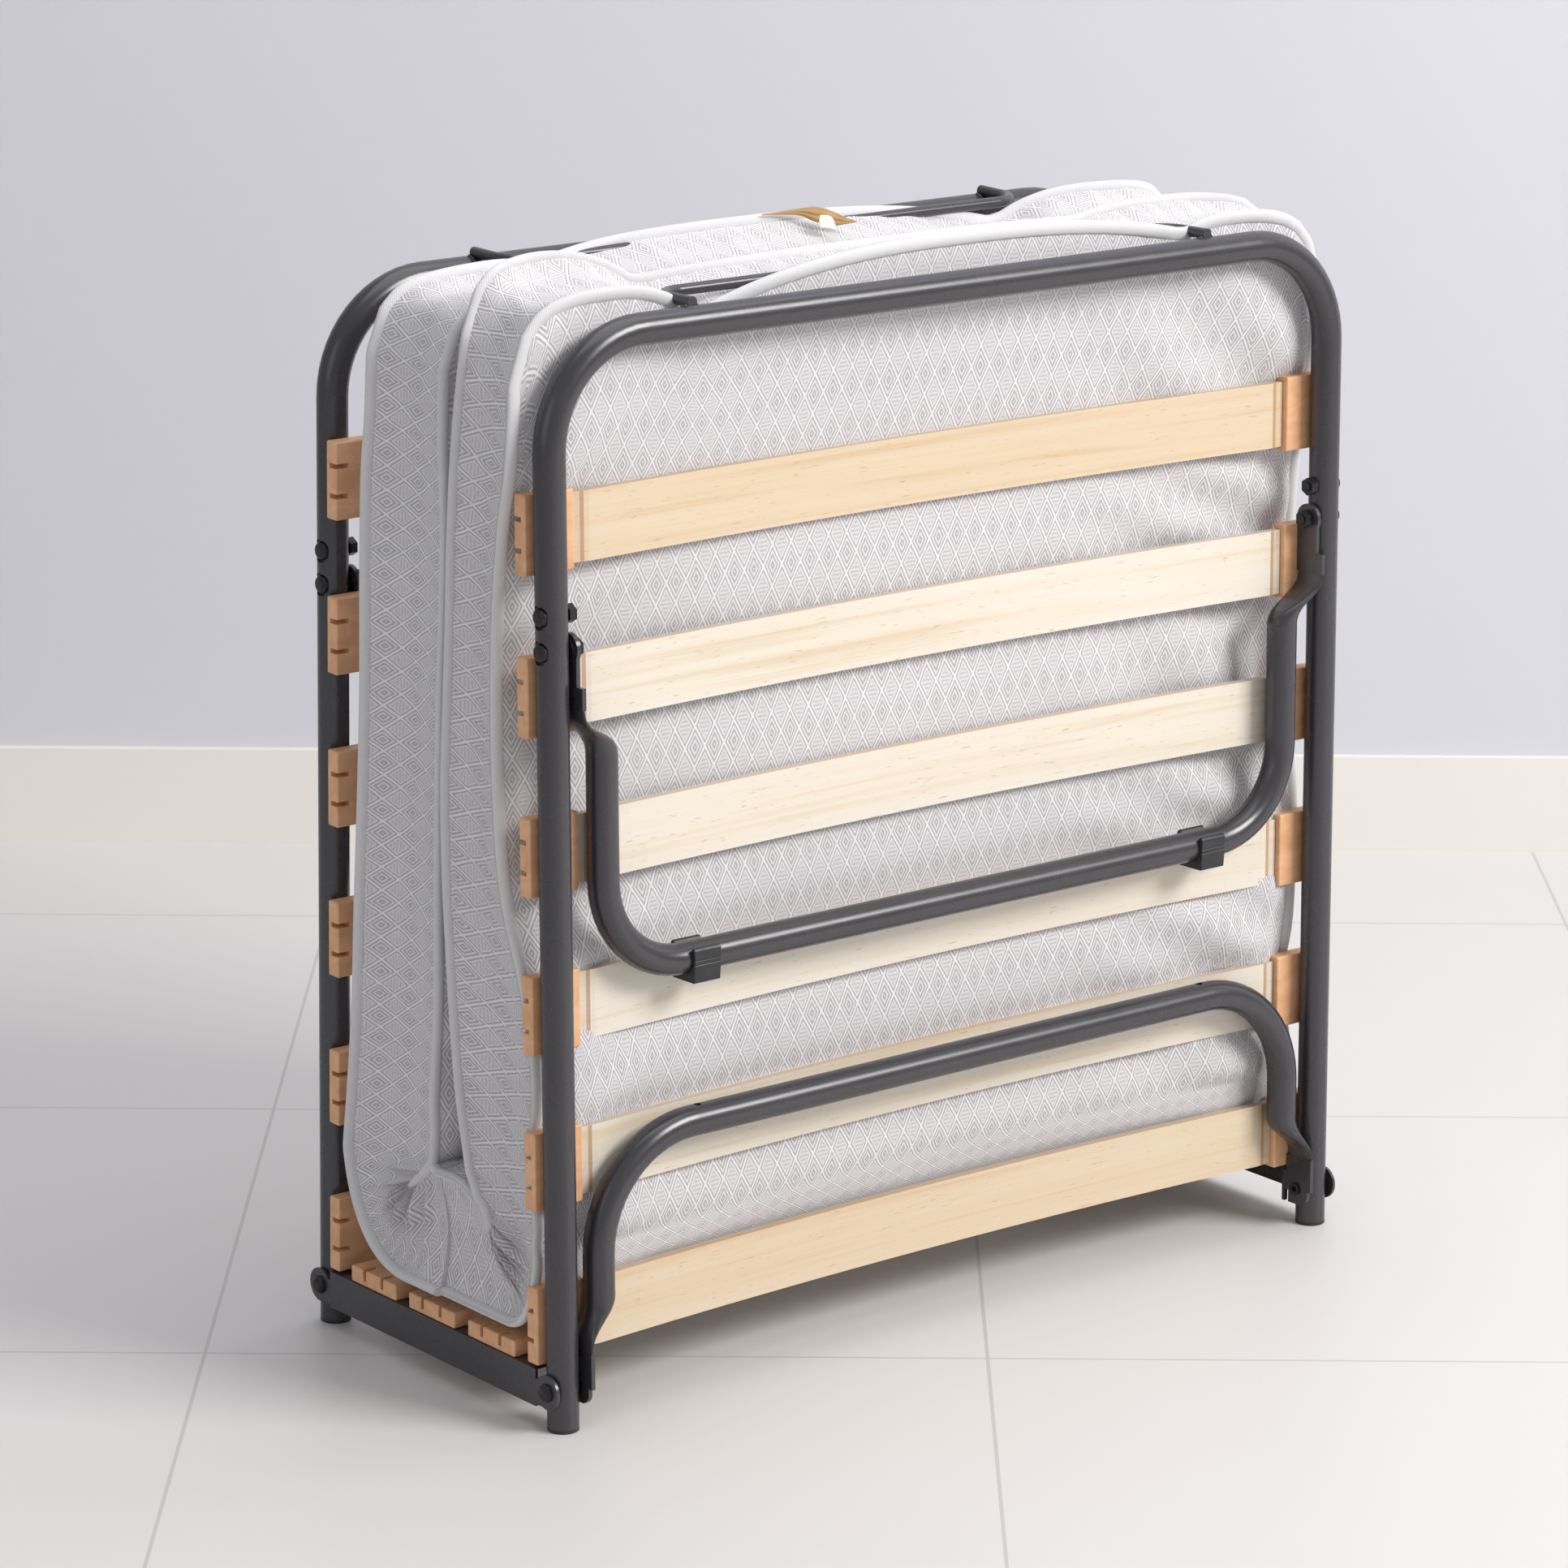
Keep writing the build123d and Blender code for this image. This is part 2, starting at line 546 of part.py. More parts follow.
def front(shape):
    """Stand a half's piece on the front fold axis, leaning inwards."""
    return Pos(0, -HINGE_SPAN / 2, HINGE_HEIGHT) * Rot(-LEAN_DEG, 0, 0) * shape


def rear(shape):
    """Stand a half's piece on the rear fold axis: the front's place turned half round."""
    return Rot(0, 0, 180) * front(shape)


def mattress_tie():
    """Ribbon knotted round the rear hoop, with two short tails lying along it."""
    bore_r = HOOP_ROD / 2 + TIE_PLAY
    edges = (HOOP_REACH - TIE_WIDTH / 2, HOOP_REACH + TIE_WIDTH / 2)
    loop = rod_x(-TIE_WIDTH / 2, TIE_WIDTH / 2, HOOP_REACH, HOOP_HEIGHT, bore_r + TIE_THICK)
    tails = block((-TIE_REACH, TIE_REACH), edges, (HOOP_HEIGHT + bore_r, HOOP_HEIGHT + bore_r + TIE_THICK))
    bore = rod_x(-TIE_WIDTH, TIE_WIDTH, HOOP_REACH, HOOP_HEIGHT, bore_r)
    return Pos(TIE_X, 0, 0) * (loop + tails - bore)


def tie_tab():
    """Small stiff tab that hangs from the ribbon on the mattress side."""
    top = HOOP_HEIGHT + HOOP_ROD / 2 + TIE_PLAY
    near = HOOP_REACH + HOOP_ROD / 2 + TIE_PLAY + TIE_THICK + TIE_PLAY
    across = (TAB_X - TAB_WIDTH / 2, TAB_X + TAB_WIDTH / 2)
    return Pos(TIE_X, 0, 0) * block(across, (near, near + TAB_THICK), (top - TAB_HEIGHT, top))


def on_both(piece, *place):
    """One piece on each side of a half."""
    return [piece(side, *place) for side in SIDES]


def save_half(name, place, side_words, mattress):
    """Write every piece that is fixed to one half, and its two legs."""
    def save_group(pieces, node):
        save(Compound(children=[place(piece) for piece in pieces]), f"{name}_{node}")

    save(place(frame_tube()), f"{name}_frame_tube")
    for i, height in enumerate(slat_heights(), start=1):
        save(place(slat(height)), f"{name}_slat_{i}")
    for side, word in zip(SIDES, side_words):
        save_group([holder(side, height) for height in slat_heights()], f"slat_holders_{word}")
    plugs = [split(place(plug), bisect_by=Plane.XY, keep=Keep.TOP) for plug in on_both(foot_plug)]
    save(Compound(children=plugs), f"{name}_tube_plugs")
    save(place(mattress_hoop()), f"{name}_mattress_hoop")

    tube_in = SIDE_X - R
    head_seat = SIDE_X + R - DIMPLE
    pivot_end = PLATE_IN - SNUG - NUT_HEIGHT - BOLT_END
    stop_end = tube_in - NUT_HEIGHT - BOLT_END
    save_group(on_both(domed_bolt, head_seat, pivot_end, END_LEG_PIVOT), "pivot_bolts")
    save_group(on_both(domed_bolt, head_seat, stop_end, STOP_HEIGHT), "stop_bolts")
    pivot_nuts = on_both(hex_nut, PLATE_IN - SNUG, END_LEG_PIVOT)
    stop_nuts = on_both(hex_nut, tube_in, STOP_HEIGHT)
    save_group(pivot_nuts + stop_nuts, "nuts")
    washer_in = PLATE_OUT + SNUG / 2
    fold_washers = on_both(washer, washer_in, tube_in, 0)
    save_group(fold_washers + on_both(washer, washer_in, tube_in, END_LEG_PIVOT), "washers")

    save(place(end_leg()), f"{name}_end_leg")
    save_group(on_both(leg_glide), "leg_glides")
    save(place(mid_leg()), f"{name}_mid_leg")
    save(place(mattress), f"{name}_mattress")


def save_centre():
    """Write the links, their slats and holders, the fold rivets and the mattress fold."""
    for side, word in zip(SIDES, ("left", "right")):
        save(side_link(side), f"{word}_link")
        group = [on_link(holder(side, 0), y) for y in centre_places()]
        save(Compound(children=group), f"centre_slat_holders_{word}")
    for i, y in enumerate(centre_places(), start=1):
        save(on_link(slat(0), y), f"centre_slat_{i}")
    rivets = []
    for end in SIDES:
        axis = Pos(0, end * HINGE_SPAN / 2, HINGE_HEIGHT)
        rivets += [axis * rivet for rivet in on_both(fold_rivet)]
    save(Compound(children=rivets), "fold_rivets")
    save(mattress_fold(), "centre_mattress")


os.makedirs("parts", exist_ok=True)
save_half("front", front, ("left", "right"), front_mattress())
save_half("rear", rear, ("right", "left"), rear_mattress())
save_centre()
save(rear(mattress_tie()), "mattress_tie")
save(rear(tie_tab()), "tie_tab")
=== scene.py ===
"""Folding guest bed with a jacquard mattress, folded and standing on its tube ends."""

import math

import bmesh
import bpy
import numpy as np
from mathutils import Matrix, Vector


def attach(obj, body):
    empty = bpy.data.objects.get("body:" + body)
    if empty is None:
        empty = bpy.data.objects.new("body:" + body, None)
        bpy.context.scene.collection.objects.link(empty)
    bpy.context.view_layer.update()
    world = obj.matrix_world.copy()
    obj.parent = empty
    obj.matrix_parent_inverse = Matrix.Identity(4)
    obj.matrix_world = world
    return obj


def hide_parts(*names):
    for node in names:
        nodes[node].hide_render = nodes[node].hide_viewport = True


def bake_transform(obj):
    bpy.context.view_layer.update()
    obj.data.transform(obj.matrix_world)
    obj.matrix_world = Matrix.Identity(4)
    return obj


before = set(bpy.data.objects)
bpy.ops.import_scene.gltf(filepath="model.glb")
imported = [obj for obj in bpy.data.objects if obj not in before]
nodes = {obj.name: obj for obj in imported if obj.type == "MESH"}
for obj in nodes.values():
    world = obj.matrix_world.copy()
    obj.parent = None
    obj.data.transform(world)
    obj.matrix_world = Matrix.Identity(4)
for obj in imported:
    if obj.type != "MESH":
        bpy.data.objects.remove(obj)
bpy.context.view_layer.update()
scene = bpy.context.scene

# Camera that took the picture
LENS_MM = 131.18
SENSOR_MM = 36.0
EYE = (-2.8535, -3.4812, 1.6143)
AZIMUTH_DEG = -38.76
ELEVATION_DEG = 14.885
ROLL_DEG = 0.383

# Frame of the bed, in metres
LEAN = math.radians(1.0)
HINGE_OUT = 0.1545           # fold axis from the bed's middle plane
HINGE_HEIGHT = 0.033
SLAT_FIRST = 0.049           # lowest slat's middle above the fold axis
SLAT_PITCH = 0.124
SLAT_COUNT = 6
SLAT_FACE = 0.02175          # slat's mattress side at its tips, from the tube's axis
SLAT_BOW = 0.015
BOW_RADIUS = 4.8335
SLAT_THICK = 0.008
PLY_COUNT = 6
LINK_TOP = 0.0485
TUBE_R = 0.0125
CENTRE_PITCH = 0.080

# Mattress, in metres; "out" is measured from the bed's middle plane towards a half's own slats
LEFT_EDGE = -0.415
RIGHT_EDGE = 0.403
HALF_TOP = 0.850             # middle of the top edge, before its lobes
LOBE_DEPTH = 0.150           # stretch below the top edge that follows the lobes
CORNER = 0.034               # rounding of the top corners
CORNER_DROP = 0.036
BORDER_PUFF = 0.009
FACE_PUFF = 0.006
PUFF_REACH = 0.045
PLEAT_DEPTH = 0.017
# Pleats of the border at the fold: place along it, width and share of the depth
PLEATS = ((0.05, 0.020, 0.6), (0.15, 0.026, 1.0), (0.25, 0.018, 0.6), (0.36, 0.028, 1.0),
          (0.47, 0.018, 0.7), (0.58, 0.026, 0.9), (0.69, 0.018, 0.6), (0.80, 0.026, 1.0), (0.92, 0.020, 0.6))
INSIDE_SWELL = 0.006         # how far the cloth may move from its drawn place
SLAT_SWELL = 0.0025
BORDER_SWELL = 0.005
BINDING_R = {"outer": 0.0038, "inner": 0.0031}
BINDING_FLAT = 0.55          # how much wider the tape is than it is thick
TAPE_RING = 12
SEAM_INSET = 0.006           # outer seams behind the face
SLAT_BULGE = 0.0040          # face pressed out between two slats

# Where a cover's sides differ from its middle: distance from the bed's middle, and the blend after it
SIDE_HALF = 0.41
SLOT = (0.24, 0.12)
SLOT_AT_TOP = (0.325, 0.085)
SLOT_RISE = (0.62, 0.15)     # heights over which the one slot turns into the other
GAP_SIDE = (0.15, 0.25)
PULL_SIDE = (0.28, 0.12)
TOP_BLEND = 0.06             # stretch below the top edge over which the border gets flatter

# Room that the slats and holders leave, at the fold axis
ROOM_OUT = 0.1272
ROOM_BOW = 0.0107
ROOM_HALF = 0.40

LOBE_ROUND = 2.6
CREASE_ROUND = 1.6
CREASE_OPEN = 0.0012
FACE_STEP = 0.006            # least step of the cloth's UV map
BORDER_STEP = 0.004
TAPE_STEP = 0.005
TAPE_TURN = 0.0026

ACROSS = 69                  # points across a face
BORDER_STEPS = 13
BASE_ROWS = 5
WEDGE_ROWS = 45
HALF_ROWS = 64


def smooth_line(points, at):
    """Height of a smooth line through given points."""
    px = np.array([p[0] for p in points], float)
    py = np.array([p[1] for p in points], float)
    slope = np.gradient(py, px)
    at = np.clip(np.asarray(at, float), px[0], px[-1])
    i = np.clip(np.searchsorted(px, at) - 1, 0, len(px) - 2)
    span = px[i + 1] - px[i]
    t = (at - px[i]) / span
    rise = t * t * (3 - 2 * t)
    start = t * (1 - t) ** 2 * span * slope[i]
    end = t * t * (t - 1) * span * slope[i + 1]
    return py[i] + (py[i + 1] - py[i]) * rise + start + end


def ease(t):
    """Smooth step from 0 to 1."""
    t = np.clip(t, 0.0, 1.0)
    return t * t * (3 - 2 * t)


def after(value, stretch):
    """Smooth step that begins at a place and takes a stretch."""
    return ease((value - stretch[0]) / stretch[1])


class Nodes:
    """A node tree, put together node by node."""

    def __init__(self, tree):
        self.tree = tree

    def put(self, socket, value):
        if isinstance(value, bpy.types.NodeSocket):
            self.tree.links.new(value, socket)
        else:
            socket.default_value = value

    def node(self, kind, inputs, **settings):
        made = self.tree.nodes.new(kind)
        for key, value in settings.items():
            setattr(made, key, value)
        for key, value in inputs.items():
            self.put(made.inputs[key], value)
        return made

    def math(self, operation, *values):
        return self.node("ShaderNodeMath", dict(enumerate(values)), operation=operation).outputs[0]


class Finish(Nodes):
    """One procedural material."""

    def __init__(self, name):
        self.material = bpy.data.materials.new(name)
        self.material.use_nodes = True
        super().__init__(self.material.node_tree)
        self.shader = self.tree.nodes["Principled BSDF"]

    def place(self, location=(0, 0, 0), rotation=(0, 0, 0), scale=(1, 1, 1)):
        """Object coordinates moved and turned into a piece's own frame, then scaled."""
        objects = self.tree.nodes.new("ShaderNodeTexCoord").outputs["Object"]
        inputs = {"Vector": objects, "Location": location, "Rotation": rotation}
        turned = self.node("ShaderNodeMapping", inputs, vector_type="TEXTURE")
        return self.stretch(turned.outputs[0], scale)

    def stretch(self, vector, scale):
        made = self.tree.nodes.new("ShaderNodeVectorMath")
        made.operation = "MULTIPLY"
        self.put(made.inputs[0], vector)
        made.inputs[1].default_value = scale
        return made.outputs[0]

    def noise(self, vector, scale, detail=3.0, roughness=0.5, distortion=0.0):
        inputs = {"Vector": vector, "Scale": scale, "Detail": detail}
        inputs.update({"Roughness": roughness, "Distortion": distortion})
        return self.node("ShaderNodeTexNoise", inputs).outputs["Fac"]

    def ramp(self, value, *stops):
        made = self.tree.nodes.new("ShaderNodeValToRGB")
        self.put(made.inputs[0], value)
        band = made.color_ramp
        while len(band.elements) < len(stops):
            band.elements.new(0.5)
        for element, (position, colour) in zip(band.elements, stops):
            element.position = position
            element.color = (*colour, 1.0)
        return made.outputs["Color"]

    def span(self, value, low, high, out_low=0.0, out_high=1.0):
        inputs = {"Value": value, "From Min": low, "From Max": high}
        inputs.update({"To Min": out_low, "To Max": out_high})
        return self.node("ShaderNodeMapRange", inputs, clamp=True).outputs[0]

    def mix(self, share, first, second, blend_type="MIX"):
        made = self.tree.nodes.new("ShaderNodeMix")
        made.data_type = "RGBA"
        made.blend_type = blend_type
        self.put(made.inputs[0], share)
        for socket, value in ((made.inputs[6], first), (made.inputs[7], second)):
            self.put(socket, (*value, 1.0) if isinstance(value, tuple) else value)
        return made.outputs[2]

    def split(self, vector):
        return self.node("ShaderNodeSeparateXYZ", {"Vector": vector}).outputs

    def bump(self, height, distance, strength=1.0):
        inputs = {"Height": height, "Distance": distance, "Strength": strength}
        self.put(self.shader.inputs["Normal"], self.node("ShaderNodeBump", inputs).outputs[0])

    def finish(self, **values):
        for key, value in values.items():
            self.put(self.shader.inputs[key.replace("_", " ")], value)
        return self.material


def graphite_paint():
    """Glossy graphite powder coat, a little cloudy."""
    f = Finish("graphite_paint")
    where = f.place()
    cloud = f.noise(where, 9.0, 2.0)
    colour = f.ramp(cloud, (0.3, (0.029, 0.027, 0.032)), (0.7, (0.035, 0.033, 0.039)))
    roughness = f.span(f.noise(where, 40.0, 2.0), 0.3, 0.7, 0.25, 0.29)
    return f.finish(Base_Color=colour, Roughness=roughness, Specular_IOR_Level=0.7)


def black_hardware():
    """Blackened steel with rubbed highlights."""
    f = Finish("black_hardware")
    where = f.place()
    rub = f.span(f.noise(where, 260.0, 5.0, 0.6), 0.55, 0.75)
    colour = f.mix(rub, (0.016, 0.016, 0.018), (0.060, 0.058, 0.058))
    f.bump(f.noise(where, 900.0), 0.0002, 0.4)
    roughness = f.span(f.noise(where, 300.0), 0.3, 0.7, 0.28, 0.46)
    return f.finish(Base_Color=colour, Roughness=roughness, Metallic=0.35)


def moulded_plastic(name, dark, pale, roughness, grain):
    """Moulded plastic with a spark-eroded skin and soft flow marks."""
    f = Finish(name)
    where = f.place()
    flow = f.noise(f.stretch(where, (26.0, 60.0, 60.0)), 1.0, 4.0, 0.6, 0.8)
    colour = f.ramp(flow, (0.32, dark), (0.68, pale))
    speck = f.noise(where, 1500.0, 2.0, 0.6)
    f.bump(speck, grain, 0.6)
    scuff = f.noise(where, 120.0, 5.0, 0.65)
    rough = f.span(scuff, 0.3, 0.7, roughness - 0.07, roughness + 0.08)
    return f.finish(Base_Color=colour, Roughness=rough)


TINT_LOSS = (0.12, 0.26, 0.44)   # red, green and blue that a tan slat swallows


def birch_slat(name, location, turn, seed, tint):
    """Birch plywood: long grain and flecks on its faces, plies at its edges and end bevels."""
    f = Finish(name)
    own = f.place(location, (turn, 0.0, 0.0))
    x, y = f.split(own)[0:2]
    fall = f.math("DIVIDE", f.math("MULTIPLY", x, x), 2 * BOW_RADIUS)
    face = f.math("SUBTRACT", SLAT_FACE + SLAT_BOW, fall)
    depth = f.math("SUBTRACT", face, y)
    shift = {0: own, 1: (seed * 1.7, 0.0, seed * 0.31)}
    shifted = f.node("ShaderNodeVectorMath", shift, operation="ADD").outputs[0]
    wander = f.noise(f.stretch(shifted, (2.2, 6.0, 18.0)), 1.0, 3.0, 0.5, 0.3)
    bands = f.noise(f.stretch(shifted, (1.3, 30.0, 95.0)), 1.0, 5.0, 0.62, 0.5)
    fine = f.noise(f.stretch(shifted, (9.0, 300.0, 900.0)), 1.0, 3.0, 0.6)
    fleck = f.noise(f.stretch(shifted, (75.0, 500.0, 640.0)), 1.0, 2.0, 0.5)
    grain = f.math("ADD", f.math("MULTIPLY", bands, 0.72), f.math("MULTIPLY", wander, 0.28))
    pale = (0.77, 0.745, 0.69)
    middle = (0.76, 0.707, 0.62)
    deep = (0.69, 0.573, 0.44)
    keep = [1 - tint * loss for loss in TINT_LOSS]
    tinted = [tuple(c * k for c, k in zip(tone, keep)) for tone in (pale, middle, deep)]
    colour = f.ramp(grain, (0.34, tinted[2]), (0.47, tinted[1]), (0.60, tinted[0]))
    colour = f.mix(f.span(fine, 0.35, 0.75, 0.0, 0.22), colour, tinted[2])
    colour = f.mix(f.span(fleck, 0.66, 0.74, 0.0, 0.5), colour, (0.42, 0.24, 0.11))
    ply = f.math("DIVIDE", depth, SLAT_THICK / PLY_COUNT)
    inside = f.math("GREATER_THAN", f.math("MINIMUM", ply, f.math("SUBTRACT", PLY_COUNT, ply)), 0.55)
    odd = f.math("GREATER_THAN", f.math("FRACT", f.math("MULTIPLY", ply, 0.5)), 0.5)
    shade = f.math("MULTIPLY", inside, f.math("ADD", f.math("MULTIPLY", odd, 0.55), 0.18))
    colour = f.mix(shade, colour, (0.40, 0.22, 0.10))
    f.bump(f.math("ADD", fine, f.math("MULTIPLY", fleck, 0.5)), 0.0002, 0.35)
    roughness = f.span(bands, 0.3, 0.7, 0.46, 0.36)
    return f.finish(Base_Color=colour, Roughness=roughness, Coat_Weight=0.12, Coat_Roughness=0.28)


DIAMOND_SHORT = 0.0188
DIAMOND_LONG = 0.0335
DIAMOND_RINGS = 3.0
NET_REACH = 0.94             # from here on a diamond is the bright net itself
RIBBED_REACH = 0.56          # a ribbed diamond keeps only its outer rings
RIB = 0.0033
THREAD = 0.0017


def jacquard():
    """Woven ticking: a net of diamonds, ringed and ribbed by turns, laid out by the cover's UV map."""
    f = Finish("jacquard")
    cloth = f.node("ShaderNodeUVMap", {}, uv_map="cloth").outputs[0]
    warp = f.noise(cloth, 34.0, 2.0)
    u, v = f.split(cloth)[0:2]
    u = f.math("ADD", u, f.math("MULTIPLY", f.math("SUBTRACT", warp, 0.5), 0.0022))

    def to_centre(value):
        part = f.math("FRACT", value)
        return f.math("ABSOLUTE", f.math("SUBTRACT", f.math("MULTIPLY", part, 2.0), 1.0))

    def threads(value, pitch):
        return f.math("SINE", f.math("MULTIPLY", value, 2 * math.pi / pitch))

    along = f.math("DIVIDE", u, DIAMOND_SHORT)
    up = f.math("DIVIDE", v, DIAMOND_LONG)
    rise = f.math("ADD", along, up)
    fall = f.math("SUBTRACT", along, up)
    reach = f.math("MAXIMUM", to_centre(rise), to_centre(fall))
    row = f.math("SUBTRACT", f.math("FLOOR", rise), f.math("FLOOR", fall))
    odd = f.math("GREATER_THAN", f.math("FRACT", f.math("ADD", f.math("MULTIPLY", row, 0.5), 0.25)), 0.5)
    wave = f.math("COSINE", f.math("MULTIPLY", reach, 2 * math.pi * DIAMOND_RINGS))
    rings = f.span(wave, -0.4, 0.6, 0.0, 0.72)
    ribs = f.span(threads(v, RIB), -0.7, 0.7, 0.26, 0.60)
    ribbed = f.math("MULTIPLY", odd, f.math("LESS_THAN", reach, RIBBED_REACH))
    ringed = f.math("MULTIPLY", rings, f.math("SUBTRACT", 1.0, ribbed))
    filling = f.math("ADD", ringed, f.math("MULTIPLY", ribs, ribbed))
    pattern = f.math("MAXIMUM", filling, f.span(reach, NET_REACH - 0.08, NET_REACH, 0.0, 0.86))
    weave = f.math("MULTIPLY", threads(u, THREAD), threads(v, THREAD))
    slub = f.noise(cloth, 420.0, 3.0, 0.6)
    uneven = f.math("MULTIPLY", f.math("SUBTRACT", slub, 0.5), 0.5)
    woven = f.math("ADD", f.math("MULTIPLY", weave, 0.20), uneven)
    share = f.math("ADD", f.math("MULTIPLY", pattern, 0.8), woven)
    share = f.node("ShaderNodeClamp", {"Value": f.math("ADD", share, 0.08)}).outputs[0]
    colour = f.mix(share, CLOTH_GROUND, CLOTH_LIGHT)
    soil = f.span(f.noise(f.place(), 5.0, 3.0), 0.35, 0.7, 0.0, 0.10)
    colour = f.mix(soil, colour, CLOTH_GROUND)
    height = f.math("ADD", f.math("MULTIPLY", pattern, 0.7), f.math("MULTIPLY", weave, 0.3))
    f.bump(height, 0.0005, 0.55)
    roughness = f.span(pattern, 0.0, 1.0, 0.86, 0.66)
    return f.finish(Base_Color=colour, Roughness=roughness, Sheen_Weight=0.2, Sheen_Roughness=0.5)


def twill_tape():
    """Pale binding tape with a fine diagonal twill."""
    f = Finish("twill_tape")
    cloth = f.node("ShaderNodeUVMap", {}, uv_map="cloth").outputs[0]
    u, v = f.split(cloth)[0:2]
    line = f.math("SINE", f.math("MULTIPLY", f.math("ADD", u, v), 2 * math.pi / 0.0016))
    slub = f.noise(cloth, 300.0, 3.0)
    share = f.span(f.math("ADD", line, f.math("MULTIPLY", slub, 0.8)), -0.8, 1.6)
    colour = f.mix(share, (0.60, 0.59, 0.60), (0.80, 0.795, 0.81))
    f.bump(line, 0.0003, 0.6)
    rough = f.span(slub, 0.3, 0.7, 0.70, 0.84)
    return f.finish(Base_Color=colour, Roughness=rough, Sheen_Weight=0.2)


def satin_ribbon(name, dark, pale):
    """Woven ribbon with fine cross ribs."""
    f = Finish(name)
    where = f.place()
    rib = f.node("ShaderNodeTexWave", {"Vector": where, "Scale": 420.0, "Distortion": 0.6}).outputs["Fac"]
    tone = f.noise(where, 90.0, 3.0)
    colour = f.mix(f.math("ADD", f.math("MULTIPLY", rib, 0.35), f.math("MULTIPLY", tone, 0.65)), dark, pale)
    f.bump(rib, 0.0002, 0.6)
    rough = f.span(tone, 0.3, 0.7, 0.36, 0.52)
    return f.finish(Base_Color=colour, Roughness=rough, Sheen_Weight=0.3)


PAINT = graphite_paint()
HARDWARE = black_hardware()
TAN_PLASTIC = moulded_plastic("tan_plastic", (0.66, 0.350, 0.175), (0.83, 0.475, 0.270), 0.46, 0.00018)
BLACK_PLASTIC = moulded_plastic("black_plastic", (0.012, 0.012, 0.014), (0.026, 0.026, 0.029), 0.42, 0.00020)
CLOTH_LIGHT = (0.90, 0.89, 0.92)
CLOTH_GROUND = (0.365, 0.347, 0.355)
CLOTH = jacquard()
TAPE = twill_tape()
THREAD_WHITE = satin_ribbon("thread", (0.60, 0.59, 0.60), (0.80, 0.79, 0.80))
RIBBON = satin_ribbon("ribbon", (0.30, 0.16, 0.045), (0.52, 0.32, 0.12))
CREAM = satin_ribbon("cream_tab", (0.78, 0.70, 0.54), (0.90, 0.84, 0.70))


def dress(name, material):
    """Gives a CAD node its material."""
    mesh = nodes[name].data
    mesh.materials.clear()
    mesh.materials.append(material)


def dress_slats():
    """Each slat gets its own piece of birch: the lowest and the top ones are the tan, figured ones."""
    for half, way in (("front", -1), ("rear", 1)):
        for i in range(SLAT_COUNT):
            height = SLAT_FIRST + SLAT_PITCH * i
            y = way * (HINGE_OUT - height * math.sin(LEAN))
            z = HINGE_HEIGHT + height * math.cos(LEAN)
            turn = -LEAN if way < 0 else math.pi + LEAN
            tint = 0.9 if i in (0, SLAT_COUNT - 1) else 0.25
            seed = i + 1 + (SLAT_COUNT if way > 0 else 0)
            name = f"{half}_slat_{i + 1}"
            dress(name, birch_slat(f"birch_{name}", (0.0, y, z), turn, seed, tint))
    for i in range(3):
        place = (0.0, (i - 1) * CENTRE_PITCH, LINK_TOP - TUBE_R)
        seed = 2 * SLAT_COUNT + i + 1
        wood = birch_slat(f"birch_centre_{i + 1}", place, math.radians(90.0), seed, 0.3)
        dress(f"centre_slat_{i + 1}", wood)


def dress_frame():
    """Paint, hardware and plastics of the CAD nodes."""
    for half in ("front", "rear"):
        for part in ("frame_tube", "mattress_hoop", "end_leg", "mid_leg"):
            dress(f"{half}_{part}", PAINT)
        for part in ("pivot_bolts", "stop_bolts", "nuts", "washers"):
            dress(f"{half}_{part}", HARDWARE)
        for part in ("slat_holders_left", "slat_holders_right"):
            dress(f"{half}_{part}", TAN_PLASTIC)
        for part in ("tube_plugs", "leg_glides"):
            dress(f"{half}_{part}", BLACK_PLASTIC)
        dress(f"{half}_mattress", CLOTH)
    for part in ("left_link", "right_link"):
        dress(part, PAINT)
    for part in ("centre_slat_holders_left", "centre_slat_holders_right"):
        dress(part, TAN_PLASTIC)
    dress("fold_rivets", HARDWARE)
    dress("centre_mattress", CLOTH)
    dress("mattress_tie", RIBBON)
    dress("tie_tab", CREAM)


